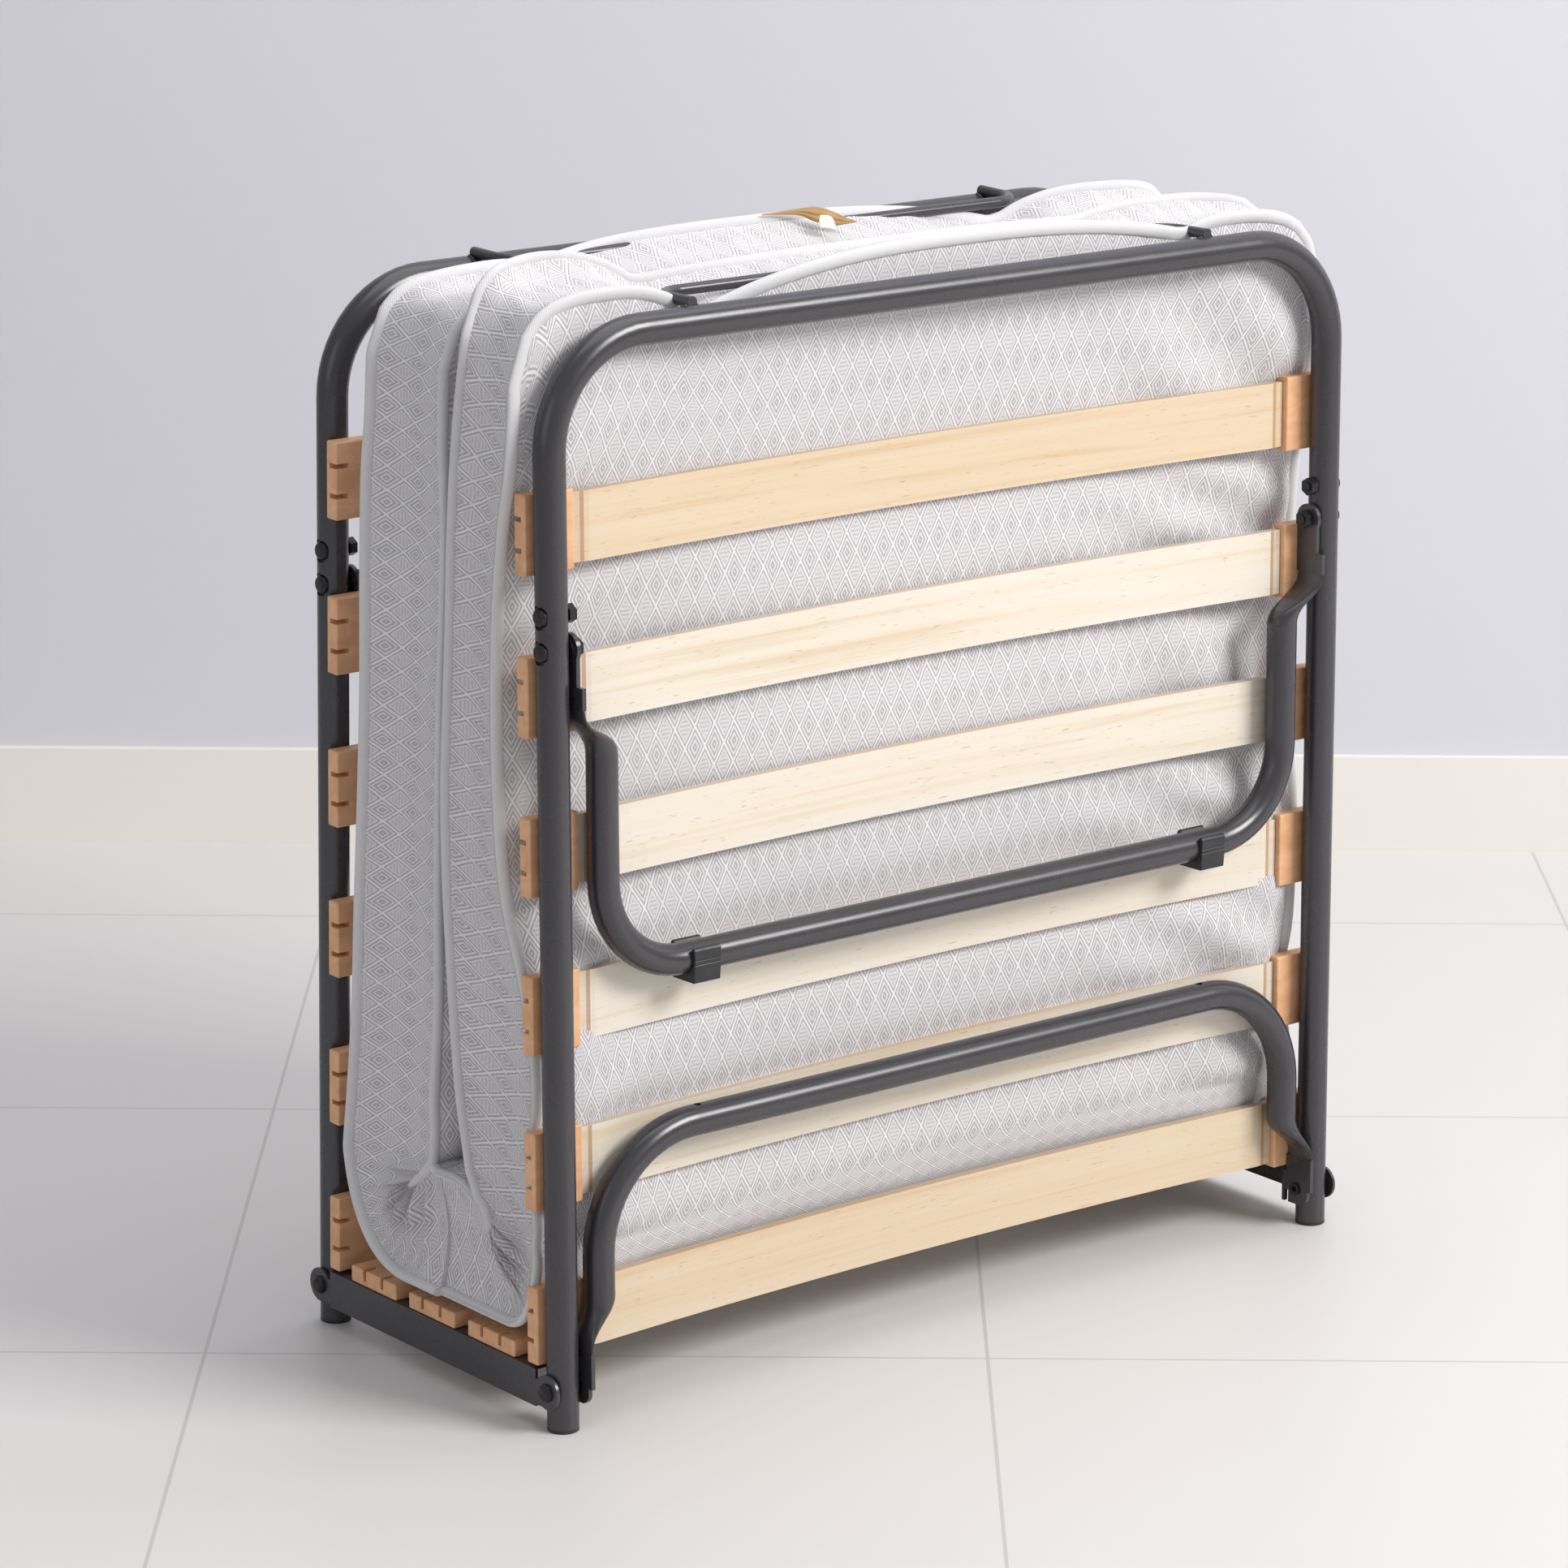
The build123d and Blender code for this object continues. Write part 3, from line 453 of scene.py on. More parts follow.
# Lobes of the top edges: (middle, half width, crest), and the height of the valleys between them
FRONT = {
    "way": -1,
    "top_share": 0.8,
    "outer_lobes": ((-0.330, 0.085, 0.873), (0.030, 0.268, 0.881), (0.314, 0.080, 0.869)),
    "outer_valley": 0.848,
    "inner_lobes": ((-0.345, 0.100, 0.891), (0.010, 0.245, 0.869), (0.297, 0.100, 0.874)),
    "inner_valley": 0.864,
    "edge_gap": ((0.13, -0.004), (0.150, -0.007), (0.206, 0.001), (0.262, -0.008), (0.318, -0.007),
                 (0.371, -0.001), (0.415, 0.008), (0.498, 0.014), (0.576, 0.015), (0.628, 0.012),
                 (0.70, 0.003), (0.75, -0.006), (0.837, -0.014)),
    "middle_gap": ((0.13, 0.001), (0.70, 0.001), (0.78, -0.004), (0.85, -0.019)),
    "edge_pull": ((0.07, 0.004), (0.12, 0.012), (0.31, 0.013), (0.40, 0.003), (0.60, 0.0), (0.85, 0.0)),
    "edge_inside": ((0.1665, 0.0745), (0.181, 0.0625), (0.208, 0.0550), (0.239, 0.0480), (0.28, 0.0425),
                    (0.343, 0.0370), (0.417, 0.0320), (0.505, 0.0315), (0.55, 0.0345), (0.616, 0.0385),
                    (0.687, 0.0420), (0.736, 0.0460), (0.793, 0.0530), (0.85, 0.0630)),
    "middle_inside": ((0.1665, 0.016), (0.30, 0.013), (0.465, 0.013), (0.70, 0.022), (0.85, 0.040)),
    "edge_top": ((0.0165, 0.1755), (0.036, 0.1770), (0.055, 0.1750), (0.0745, 0.1635)),
    "middle_top": ((0.0165, 0.172), (0.0165, 0.172), (0.0163, 0.172), (0.0160, 0.1712)),
    "edge_crease": 0.022,
    "middle_crease": 0.045,
    "edge_corner": ((0.104, 0.0765), (0.1310, 0.0768), (0.1285, 0.132)),
    "middle_corner": ((0.078, 0.0765), (0.113, 0.0768), (0.1145, 0.132)),
}
REAR = {
    "way": 1,
    "top_share": 0.5,
    "outer_lobes": ((-0.320, 0.090, 0.865), (-0.040, 0.250, 0.871), (0.325, 0.090, 0.869)),
    "outer_valley": 0.850,
    "inner_lobes": ((-0.310, 0.105, 0.858), (0.0, 0.250, 0.852), (0.300, 0.105, 0.855)),
    "inner_valley": 0.848,
    "edge_gap": ((0.13, 0.013), (0.166, 0.014), (0.200, 0.018), (0.275, 0.0255), (0.368, 0.030),
                 (0.46, 0.035), (0.528, 0.038), (0.667, 0.0395), (0.717, 0.041), (0.775, 0.045),
                 (0.85, 0.048)),
    "middle_gap": ((0.13, 0.008), (0.305, 0.008), (0.505, 0.012), (0.70, 0.012), (0.85, 0.006)),
    "edge_pull": ((0.07, 0.0), (0.20, 0.0), (0.85, 0.0)),
    "edge_inside": ((0.183, -0.0090), (0.195, -0.0125), (0.23, -0.0125), (0.30, -0.0185), (0.415, -0.0215),
                    (0.55, -0.0260), (0.686, -0.0335), (0.79, -0.0315), (0.85, -0.0330)),
    "middle_inside": ((0.183, 0.004), (0.33, 0.003), (0.59, -0.004), (0.85, -0.010)),
    "edge_top": ((-0.0165, 0.1755), (-0.0135, 0.1775), (-0.0110, 0.1790), (-0.0085, 0.1790)),
    "middle_top": ((-0.0165, 0.172), (-0.010, 0.172), (-0.003, 0.172), (0.003, 0.172)),
    "edge_crease": 0.038,
    "middle_crease": 0.040,
    "edge_corner": ((0.015, 0.0765), (0.092, 0.0720), (0.106, 0.165)),
    "middle_corner": ((0.015, 0.0765), (0.094, 0.0740), (0.109, 0.165)),
}


def top_edge(x, lobes, valley):
    """Height of a top edge that rises in lobes between the hoop's legs and falls at the corners."""
    height = np.full(np.shape(x), valley - CORNER_DROP)
    for middle, half_width, crest in lobes:
        t = np.abs((x - middle) / half_width)
        height = np.maximum(height, crest - (crest - valley) * t ** LOBE_ROUND)
    to_corner = np.minimum(x - LEFT_EDGE, RIGHT_EDGE - x)
    t = np.clip(1 - to_corner / CORNER, 0, 1)
    return height - CORNER_DROP * (1 - np.sqrt(np.clip(1 - t * t, 0, 1)))


def slat_line(x, z):
    """How far out the slats and their holders leave room for the mattress."""
    bow = ROOM_BOW * (1 - (x / ROOM_HALF) ** 2)
    return ROOM_OUT - bow - math.tan(LEAN) * (z - HINGE_HEIGHT)


def bezier(points, t):
    a, b, c = (np.array(p) for p in points)
    t = np.asarray(t)[:, None]
    return a * (1 - t) ** 2 + 2 * b * t * (1 - t) + c * t ** 2


def crease_path(mouth, depth, a):
    """Down into a closed crease that points at the fold axis, and up again."""
    mouth = np.array(mouth)
    towards = np.array((HINGE_OUT, HINGE_HEIGHT)) - mouth
    towards = towards / np.linalg.norm(towards)
    aside = np.array((-towards[1], towards[0]))
    down = 1 - np.abs(2 * a - 1) ** CREASE_ROUND
    spread = CREASE_OPEN * np.sign(a - 0.5) * (1 - down)
    return mouth + down[:, None] * depth * towards + spread[:, None] * -aside


DRAG = 0.0046
DRAG_TALL = 0.082
DRAG_WIDE = 0.135
DRAG_SIDES = ((0.330, 0.130, 1.0), (-0.370, 0.080, 0.7))   # middle, spread and strength at each side


def drag_lines(x, z):
    """Slanting wrinkles where the cloth is drawn to its side seams."""
    total = np.zeros(np.shape(x))
    for middle, spread, strength in DRAG_SIDES:
        way = math.copysign(1.0, middle)
        wave = np.sin(2 * math.pi * (z / DRAG_TALL + way * x / DRAG_WIDE + 0.35 * math.sin(z * 19.0)))
        total += strength * np.exp(-((x - middle) / spread) ** 2) * wave
    return DRAG * total


def cover_rows(spec, x):
    """Outer and inner points (out, z) of every row at every x, and each row's share of the centre section."""
    e_out = (np.abs(x) / SIDE_HALF) ** 2
    e_in = after(np.abs(x), SLOT)
    e_high = after(np.abs(x), SLOT_AT_TOP)
    rows_out, rows_in, share = [], [], []

    def between(edge, middle, e):
        return middle[None, :] + (edge - middle)[None, :] * e[:, None]

    t = np.linspace(0, 1, BASE_ROWS, endpoint=False)
    start = spec["edge_top"][0][0]
    edge_b, middle_b = spec["edge_corner"][0], spec["middle_corner"][0]
    path_e = np.array(spec["edge_top"])
    path_m = np.array(spec["middle_top"])
    steps = np.linspace(0, 1, len(path_e))
    for s in t:
        low_e = np.array((start + (edge_b[0] - start) * s, edge_b[1]))
        low_m = np.array((start + (middle_b[0] - start) * s, middle_b[1]))
        high_e = np.array([np.interp(s, steps, path_e[:, k]) for k in (0, 1)])
        high_m = np.array([np.interp(s, steps, path_m[:, k]) for k in (0, 1)])
        rows_out.append(between(low_e, low_m, e_out))
        rows_in.append(between(high_e, high_m, e_in))
        share.append(1.0)
    a = np.linspace(0, 1, WEDGE_ROWS)
    low_e = bezier(spec["edge_corner"], a)
    low_m = bezier(spec["middle_corner"], a)
    high_e = crease_path(spec["edge_top"][-1], spec["edge_crease"], a)
    high_m = crease_path(spec["middle_top"][-1], spec["middle_crease"], a)
    for k in range(WEDGE_ROWS):
        rows_out.append(between(low_e[k], low_m[k], e_out))
        rows_in.append(between(high_e[k], high_m[k], e_in))
        share.append(1.0 - float(a[k]))
    out_top = top_edge(x, spec["outer_lobes"], spec["outer_valley"])
    in_top = top_edge(x, spec["inner_lobes"], spec["inner_valley"])
    z_out_0 = spec["edge_corner"][2][1]
    z_in_0 = spec["edge_inside"][0][0]
    for k in range(1, HALF_ROWS + 1):
        s = k / HALF_ROWS
        z_out = z_out_0 + (HALF_TOP - z_out_0) * s
        z_in = z_in_0 + (HALF_TOP - z_in_0) * s
        z_o = z_out + ease((z_out - HALF_TOP + LOBE_DEPTH) / LOBE_DEPTH) * (out_top - HALF_TOP)
        z_i = z_in + ease((z_in - HALF_TOP + LOBE_DEPTH) / LOBE_DEPTH) * (in_top - HALF_TOP)
        gap_e = smooth_line(spec["edge_gap"], z_out)
        gap_m = smooth_line(spec["middle_gap"], z_out)
        out = slat_line(x, z_out) - (gap_m + (gap_e - gap_m) * after(np.abs(x), GAP_SIDE))
        from_seam = np.minimum(np.minimum(x - LEFT_EDGE, RIGHT_EDGE - x), HALF_TOP - z_out)
        rise = 1 - (1 - np.clip(from_seam / PUFF_REACH, 0, 1)) ** 2
        phase = (z_out - HINGE_HEIGHT - SLAT_FIRST) / SLAT_PITCH
        bulge = SLAT_BULGE * (0.5 - 0.5 * math.cos(2 * math.pi * phase))
        out = out - SEAM_INSET * (1 - rise) + bulge * rise + drag_lines(x, z_out) * rise
        in_e = smooth_line(spec["edge_inside"], z_in)
        in_m = smooth_line(spec["middle_inside"], z_in)
        e_here = e_in + (e_high - e_in) * after(z_in, SLOT_RISE)
        inside = in_m + (in_e - in_m) * e_here
        rows_out.append(np.stack([out, z_o], 1))
        rows_in.append(np.stack([inside, z_i], 1))
        share.append(0.0)
    return np.array(rows_out), np.array(rows_in), np.array(share)


def rim(rows, columns):
    """Row and column of every point round the left, top and right edges of a face."""
    left = [(r, 0) for r in range(rows)]
    top = [(rows - 1, c) for c in range(1, columns)]
    right = [(r, columns - 1) for r in range(rows - 2, -1, -1)]
    return left + top + right


def cover_points(spec):
    """Grids of points for the two faces and the border of one cover."""
    x = np.linspace(LEFT_EDGE, RIGHT_EDGE, ACROSS)
    rows_out, rows_in, share = cover_rows(spec, x)
    count = len(share)
    way = spec["way"]
    grids = []
    for rows in (rows_out, rows_in):
        grid = np.zeros((count, ACROSS, 3))
        grid[:, :, 0] = x[None, :]
        grid[:, :, 1] = way * rows[:, :, 0]
        grid[:, :, 2] = rows[:, :, 1]
        grids.append(grid)
    outer, inner = grids
    pull = smooth_line(spec["edge_pull"], np.clip(outer[:, :1, 2], 0.0, HALF_TOP))
    outer[:, :, 0] -= np.sign(x) * pull * after(np.abs(x), PULL_SIDE)
    path = rim(count, ACROSS)
    low = np.array([outer[r, c] for r, c in path])
    high = np.array([inner[r, c] for r, c in path])
    along = np.gradient((low + high) / 2, axis=0)
    normal = np.cross(along, high - low) * way
    normal /= np.maximum(np.linalg.norm(normal, axis=1), 1e-9)[:, None]
    steps = np.linspace(0, 1, BORDER_STEPS + 1)
    border = np.zeros((len(path), BORDER_STEPS + 1, 3))
    wedge = np.array([min(max((r - BASE_ROWS) / (WEDGE_ROWS - 1), 0), 1) for r, c in path])
    fold = sum(share_of * np.exp(-((wedge - middle) / width) ** 2) for middle, width, share_of in PLEATS)
    flatter = 1 - (1 - spec["top_share"]) * after((low + high)[:, 2] / 2, (HALF_TOP - TOP_BLEND, TOP_BLEND))
    for m, b in enumerate(steps):
        puff = BORDER_PUFF * math.sin(math.pi * b) * (1 - 0.75 * np.sin(math.pi * wedge)) * flatter
        pull = PLEAT_DEPTH * fold * math.sin(math.pi * b ** 1.6) ** 1.3
        border[:, m] = low + (high - low) * b + normal * (puff - pull)[:, None]
    return outer, inner, border, normal, share, path


def face_puff(grid, turn):
    """Rounds a face up from its seams."""
    du = np.gradient(grid, axis=1)
    dv = np.gradient(grid, axis=0)
    normal = np.cross(du, dv) * turn
    normal /= np.maximum(np.linalg.norm(normal, axis=2), 1e-9)[:, :, None]
    x = grid[:, :, 0]
    side = np.minimum(x - LEFT_EDGE, RIGHT_EDGE - x)
    top = np.linalg.norm(grid - grid[-1][None, :, :], axis=2)
    near = np.clip(np.minimum(side, top) / PUFF_REACH, 0, 1)
    return grid + normal * (FACE_PUFF * (1 - (1 - near) ** 2))[:, :, None]


def run_length(points, least):
    """Length along a line of points, where no step counts less than the least one."""
    steps = np.linalg.norm(np.diff(points, axis=0), axis=1)
    return np.concatenate([[0], np.cumsum(np.maximum(steps, least))])


def cover_mesh(name, spec):
    """One half of the mattress cover as a closed skin with seams, UV map and bending shares."""
    outer, inner, border, normal, share, path = cover_points(spec)
    way = spec["way"]
    inner = face_puff(inner, way)
    rows, columns = outer.shape[:2]
    points, follow, index = [], [], {}

    def add(key, place, amount):
        index[key] = len(points)
        points.append(tuple(place))
        follow.append(amount)

    for r in range(rows):
        for c in range(columns):
            add(("out", r, c), outer[r, c], share[r])
            add(("in", r, c), inner[r, c], share[r])
    for k, (r, c) in enumerate(path):
        for m in range(1, BORDER_STEPS):
            add(("rim", k, m), border[k, m], share[r])

    def rim_key(k, m):
        if m == 0:
            return ("out", *path[k])
        if m == BORDER_STEPS:
            return ("in", *path[k])
        return ("rim", k, m)

    x = np.linspace(LEFT_EDGE, RIGHT_EDGE, columns)
    middle = columns // 2
    open_out = run_length(outer[:, middle], FACE_STEP)
    open_in = run_length(inner[:, middle], FACE_STEP)
    mean = (border[:, 0] + border[:, -1]) / 2
    run = run_length(mean, BORDER_STEP)
    width = np.linalg.norm(border[:, -1] - border[:, 0], axis=1)
    faces, corners = [], []

    def quad(keys, uvs, flip):
        ids = [index[k] for k in keys]
        if flip:
            ids.reverse()
            uvs = uvs[::-1]
        faces.append(ids)
        corners.append(uvs)

    for side, lengths, flip in (("out", open_out, way > 0), ("in", open_in, way < 0)):
        for r in range(rows - 1):
            for c in range(columns - 1):
                spots = [(r, c), (r, c + 1), (r + 1, c + 1), (r + 1, c)]
                quad([(side, *s) for s in spots], [(x[s[1]], lengths[s[0]]) for s in spots], flip)
    for k in range(len(path) - 1):
        for m in range(BORDER_STEPS):
            spots = [(k, m), (k + 1, m), (k + 1, m + 1), (k, m + 1)]
            uvs = [(run[s[0]], (s[1] / BORDER_STEPS - 0.5) * width[s[0]]) for s in spots]
            quad([rim_key(*s) for s in spots], uvs, way < 0)
    last = len(path) - 1
    ring = [("out", 0, c) for c in range(columns)]
    ring += [rim_key(last, m) for m in range(1, BORDER_STEPS)]
    ring += [("in", 0, c) for c in range(columns - 1, -1, -1)]
    ring += [rim_key(0, m) for m in range(BORDER_STEPS - 1, 0, -1)]
    quad(ring, [(0.0, 0.0)] * len(ring), way < 0)

    mesh = bpy.data.meshes.new(name)
    mesh.from_pydata(points, [], faces)
    mesh.polygons.foreach_set("use_smooth", [True] * len(faces))
    layer = mesh.uv_layers.new(name="cloth")
    layer.data.foreach_set("uv", [value for face in corners for corner in face for value in corner])
    mesh.attributes.new("follow", "FLOAT", "POINT").data.foreach_set("value", follow)
    mesh.materials.append(CLOTH)
    seam = {index[rim_key(k, m)] for k in range(len(path)) for m in (0, BORDER_STEPS)}
    cap = {index[key] for key in ring}
    crease = mesh.attributes.new("crease_edge", "FLOAT", "EDGE")
    amounts = []
    for edge in mesh.edges:
        ends = set(edge.vertices)
        amounts.append(1.0 if ends <= cap else 0.7 if ends <= seam else 0.0)
    crease.data.foreach_set("value", amounts)
    piece = bpy.data.objects.new(name, mesh)
    scene.collection.objects.link(piece)
    mesh.update()
    reach = np.full(len(points), INSIDE_SWELL)
    for key, number in index.items():
        row = path[key[1]][0] if key[0] == "rim" else key[1]
        if key[0] == "out":
            reach[number] = SLAT_SWELL
        if key[0] == "rim":
            reach[number] = BORDER_SWELL * (spec["top_share"] if row == rows - 1 else 1.0)
        reach[number] *= max(min(row / BASE_ROWS, 1.0), 0.001)
    held = sorted(seam | cap)
    reach[held] = 1e-6
    soften(piece, held, reach)
    return piece, border, normal, share, path


def plain_mesh(piece):
    """Applies every modifier and leaves a plain mesh."""
    graph = bpy.context.evaluated_depsgraph_get()
    held = piece.evaluated_get(graph)
    mesh = bpy.data.meshes.new_from_object(held, preserve_all_data_layers=True, depsgraph=graph)
    piece.modifiers.clear()
    piece.data = mesh
    mesh.name = piece.name


SOFTEN_FRAMES = 20
SOFTEN_PRESSURE = 4.0
SPARE_CLOTH = -0.02          # the cloth is cut a little larger than the shape it covers


def soften(piece, held, reach):
    """Blows the cover up a little as cloth, its seams held, and keeps each point near its place."""
    mesh = piece.data
    group = piece.vertex_groups.new(name="seams")
    group.add(held, 1.0, "REPLACE")
    cloth = piece.modifiers.new("cloth", "CLOTH")
    settings = cloth.settings
    settings.quality = 5
    settings.mass = 0.3
    settings.tension_stiffness = 25.0
    settings.compression_stiffness = 12.0
    settings.shear_stiffness = 6.0
    settings.bending_stiffness = 0.8
    settings.shrink_min = SPARE_CLOTH
    settings.use_pressure = True
    settings.uniform_pressure_force = SOFTEN_PRESSURE
    settings.effector_weights.gravity = 0.0
    settings.vertex_group_mass = "seams"
    cloth.collision_settings.use_collision = False
    cloth.point_cache.frame_start = 1
    cloth.point_cache.frame_end = SOFTEN_FRAMES
    for step in range(1, SOFTEN_FRAMES + 1):
        scene.frame_set(step)
    result = piece.evaluated_get(bpy.context.evaluated_depsgraph_get()).to_mesh()
    start = np.zeros(len(mesh.vertices) * 3, np.float32)
    end = np.zeros(len(mesh.vertices) * 3, np.float32)
    mesh.vertices.foreach_get("co", start)
    result.vertices.foreach_get("co", end)
    start = start.reshape(-1, 3)
    moved = end.reshape(-1, 3) - start
    length = np.maximum(np.linalg.norm(moved, axis=1), 1e-9)
    share = np.tanh(length / reach) * reach / length
    piece.modifiers.clear()
    piece.vertex_groups.clear()
    mesh.vertices.foreach_set("co", (start + moved * share[:, None]).ravel())
    mesh.update()
    scene.frame_set(1)


def subdivide(piece):
    """One level of subdivision, applied."""
    step = piece.modifiers.new("round", "SUBSURF")
    step.levels = 1
    step.render_levels = 1
    plain_mesh(piece)


def fold_with(piece):
    """Reads a cloth piece's bending shares and bakes its place into its mesh; it does not bend the piece."""
    values = np.zeros(len(piece.data.vertices), np.float32)
    piece.data.attributes["follow"].data.foreach_get("value", values)
    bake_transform(piece)


class Shaper(Nodes):
    """A Geometry Nodes tree with named inputs, which ends in plain geometry with its material."""

    def __init__(self, name, **inputs):
        super().__init__(bpy.data.node_groups.new(name, "GeometryNodeTree"))
        face = self.tree.interface
        for key, kind in inputs.items():
            face.new_socket(key, in_out="INPUT", socket_type=f"NodeSocket{kind}")
        face.new_socket("Mesh", in_out="OUTPUT", socket_type="NodeSocketGeometry")
        self.given = self.tree.nodes.new("NodeGroupInput").outputs

    def run(self, kind, inputs, **settings):
        return self.node(kind, inputs, **settings).outputs[0]

    def line(self, step):
        """The line that came in, as a curve with evenly spaced points."""
        curve = self.run("GeometryNodeMeshToCurve", {0: self.given["Line"]})
        return self.run("GeometryNodeResampleCurve", {0: curve, "Length": self.given[step]}, mode="LENGTH")

    def end(self, geometry, material):
        plain = self.run("GeometryNodeRealizeInstances", {0: geometry})
        painted = self.run("GeometryNodeSetMaterial", {0: plain, "Material": self.given[material]})
        self.node("NodeGroupOutput", {0: painted})
        return self.tree


def binding_tree():
    """Geometry Nodes: sweeps a tape along a seam and draws it out flat, away from the padding."""
    t = Shaper("binding", Line="Geometry", Radius="Float", Flatness="Float", Step="Float", Tape="Material")
    ring = {"Resolution": TAPE_RING, "Radius": t.given["Radius"]}
    profile = t.run("GeometryNodeCurvePrimitiveCircle", ring)
    sweep = t.run("GeometryNodeCurveToMesh", {0: t.line("Step"), 1: profile, "Fill Caps": True})
    kept = {}
    for name in ("seam", "outward"):
        kept[name] = t.run("GeometryNodeInputNamedAttribute", {"Name": name}, data_type="FLOAT_VECTOR")
    here = t.run("GeometryNodeInputPosition", {})
    from_seam = t.run("ShaderNodeVectorMath", {0: here, 1: kept["seam"]}, operation="SUBTRACT")
    share = t.node("ShaderNodeVectorMath", {0: from_seam, 1: kept["outward"]}, operation="DOT_PRODUCT")
    amount = t.math("MULTIPLY", share.outputs["Value"], t.given["Flatness"])
    drawn = t.run("ShaderNodeVectorMath", {0: kept["outward"], "Scale": amount}, operation="SCALE")
    return t.end(t.run("GeometryNodeSetPosition", {"Geometry": sweep, "Offset": drawn}), "Tape")


def stitch_tree():
    """Geometry Nodes: a row of short stitches along a line of points, each turned along the line."""
    sizes = {"Pitch": "Float", "Length": "Float", "Thickness": "Float"}
    t = Shaper("stitch_row", Line="Geometry", **sizes, Thread="Material")
    tangent = t.run("GeometryNodeInputTangent", {})
    turn = t.run("FunctionNodeAlignRotationToVector", {"Vector": tangent}, axis="Z")
    radius = t.math("MULTIPLY", t.given["Thickness"], 0.5)
    shape = {"Vertices": 6, "Radius": radius, "Depth": t.given["Length"]}
    stitch = t.node("GeometryNodeMeshCylinder", shape).outputs["Mesh"]
    placed = {"Points": t.line("Pitch"), "Instance": stitch, "Rotation": turn}
    return t.end(t.run("GeometryNodeInstanceOnPoints", placed), "Thread")


def with_tree(piece, tree, **values):
    """Runs a Geometry Nodes tree on a piece and keeps the plain mesh."""
    step = piece.modifiers.new(tree.name, "NODES")
    step.node_group = tree
    for item in tree.interface.items_tree:
        if item.in_out == "INPUT" and item.name in values:
            step[item.identifier] = values[item.name]
    plain_mesh(piece)


def line_object(name, points, follow, outward):
    """A line of points that carries its bending shares and the way out of the padding."""
    mesh = bpy.data.meshes.new(name)
    mesh.from_pydata([tuple(p) for p in points], [(i, i + 1) for i in range(len(points) - 1)], [])
    mesh.attributes.new("follow", "FLOAT", "POINT").data.foreach_set("value", follow)
    flat = np.asarray(points, np.float32).ravel()
    mesh.attributes.new("seam", "FLOAT_VECTOR", "POINT").data.foreach_set("vector", flat)
    ways = np.asarray(outward, np.float32).ravel()
    mesh.attributes.new("outward", "FLOAT_VECTOR", "POINT").data.foreach_set("vector", ways)
    piece = bpy.data.objects.new(name, mesh)
    scene.collection.objects.link(piece)
    return piece


def tape_uv(piece, ring):
    """UV map of a swept tape: along it and around it."""
    mesh = piece.data
    layer = mesh.uv_layers.new(name="cloth")
    for polygon in mesh.polygons:
        polygon.use_smooth = True
        for loop in polygon.loop_indices:
            vertex = mesh.loops[loop].vertex_index
            layer.data[loop].uv = (vertex // ring * TAPE_STEP, vertex % ring * TAPE_TURN)


STITCH_PITCH = 0.0062
STITCH_LENGTH = 0.0040
STITCH_THICK = 0.0008
STITCH_OFF = {"outer": 0.0056, "inner": 0.0048}   # stitch row beside the seam


def stitch_line(cover, border, edge):
    """Points on the cover's border, a tape's half width from its seam."""
    first, second = (0, 1) if edge == "outer" else (-1, -2)
    across = border[:, second] - border[:, first]
    across = across / np.maximum(np.linalg.norm(across, axis=1), 1e-9)[:, None]
    line = []
    for spot in border[:, first] + across * STITCH_OFF[edge]:
        _, place, normal, _ = cover.closest_point_on_mesh(Vector(spot))
        line.append(place + normal * STITCH_THICK * 0.2)
    return line


def mattress():
    """Two covers that meet under the slit, with bound and stitched edges."""
    tree = binding_tree()
    stitches = stitch_tree()
    for half, spec in (("front", FRONT), ("rear", REAR)):
        cover, border, normal, share, path = cover_mesh(f"{half}_mattress_cover", spec)
        subdivide(cover)
        if half == "front":
            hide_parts("front_mattress", "centre_mattress")
        else:
            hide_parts("rear_mattress")
        shares = [share[r] for r, c in path]
        for edge, m in (("outer", 0), ("inner", BORDER_STEPS)):
            tape = line_object(f"{half}_{edge}_binding", border[:, m], shares, normal)
            with_tree(tape, tree, Radius=BINDING_R[edge], Flatness=BINDING_FLAT, Step=TAPE_STEP, Tape=TAPE)
            tape_uv(tape, TAPE_RING)
            fold_with(tape)
            row = line_object(f"{half}_{edge}_stitches", stitch_line(cover, border, edge), shares, normal)
            sizes = {"Pitch": STITCH_PITCH, "Length": STITCH_LENGTH, "Thickness": STITCH_THICK}
            with_tree(row, stitches, Thread=THREAD_WHITE, **sizes)
            fold_with(row)
        fold_with(cover)


def in_half(half):
    """Place of a half's own frame: hinge axis at its origin, tubes along +Z, mattress side towards +Y."""
    way = -1 if half == "front" else 1
    turn = Matrix.Rotation(0.0 if way < 0 else math.pi, 4, "Z")
    return turn @ Matrix.Translation((0.0, -HINGE_OUT, HINGE_HEIGHT)) @ Matrix.Rotation(-LEAN, 4, "X")


def keep_piece(name, mesh, material, body):
    """Links a finished mesh as a piece of a body."""
    mesh.materials.clear()
    mesh.materials.append(material)
    piece = bpy.data.objects.new(name, mesh)
    scene.collection.objects.link(piece)
    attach(piece, body)
    return piece


FOOT_X = 0.264
CROSSBAR = 0.323             # end leg's crossbar above the fold axis
GLIDE_LENGTH = 0.026
GLIDE_BORE = 0.01262
GLIDE_BEVEL = 0.0005


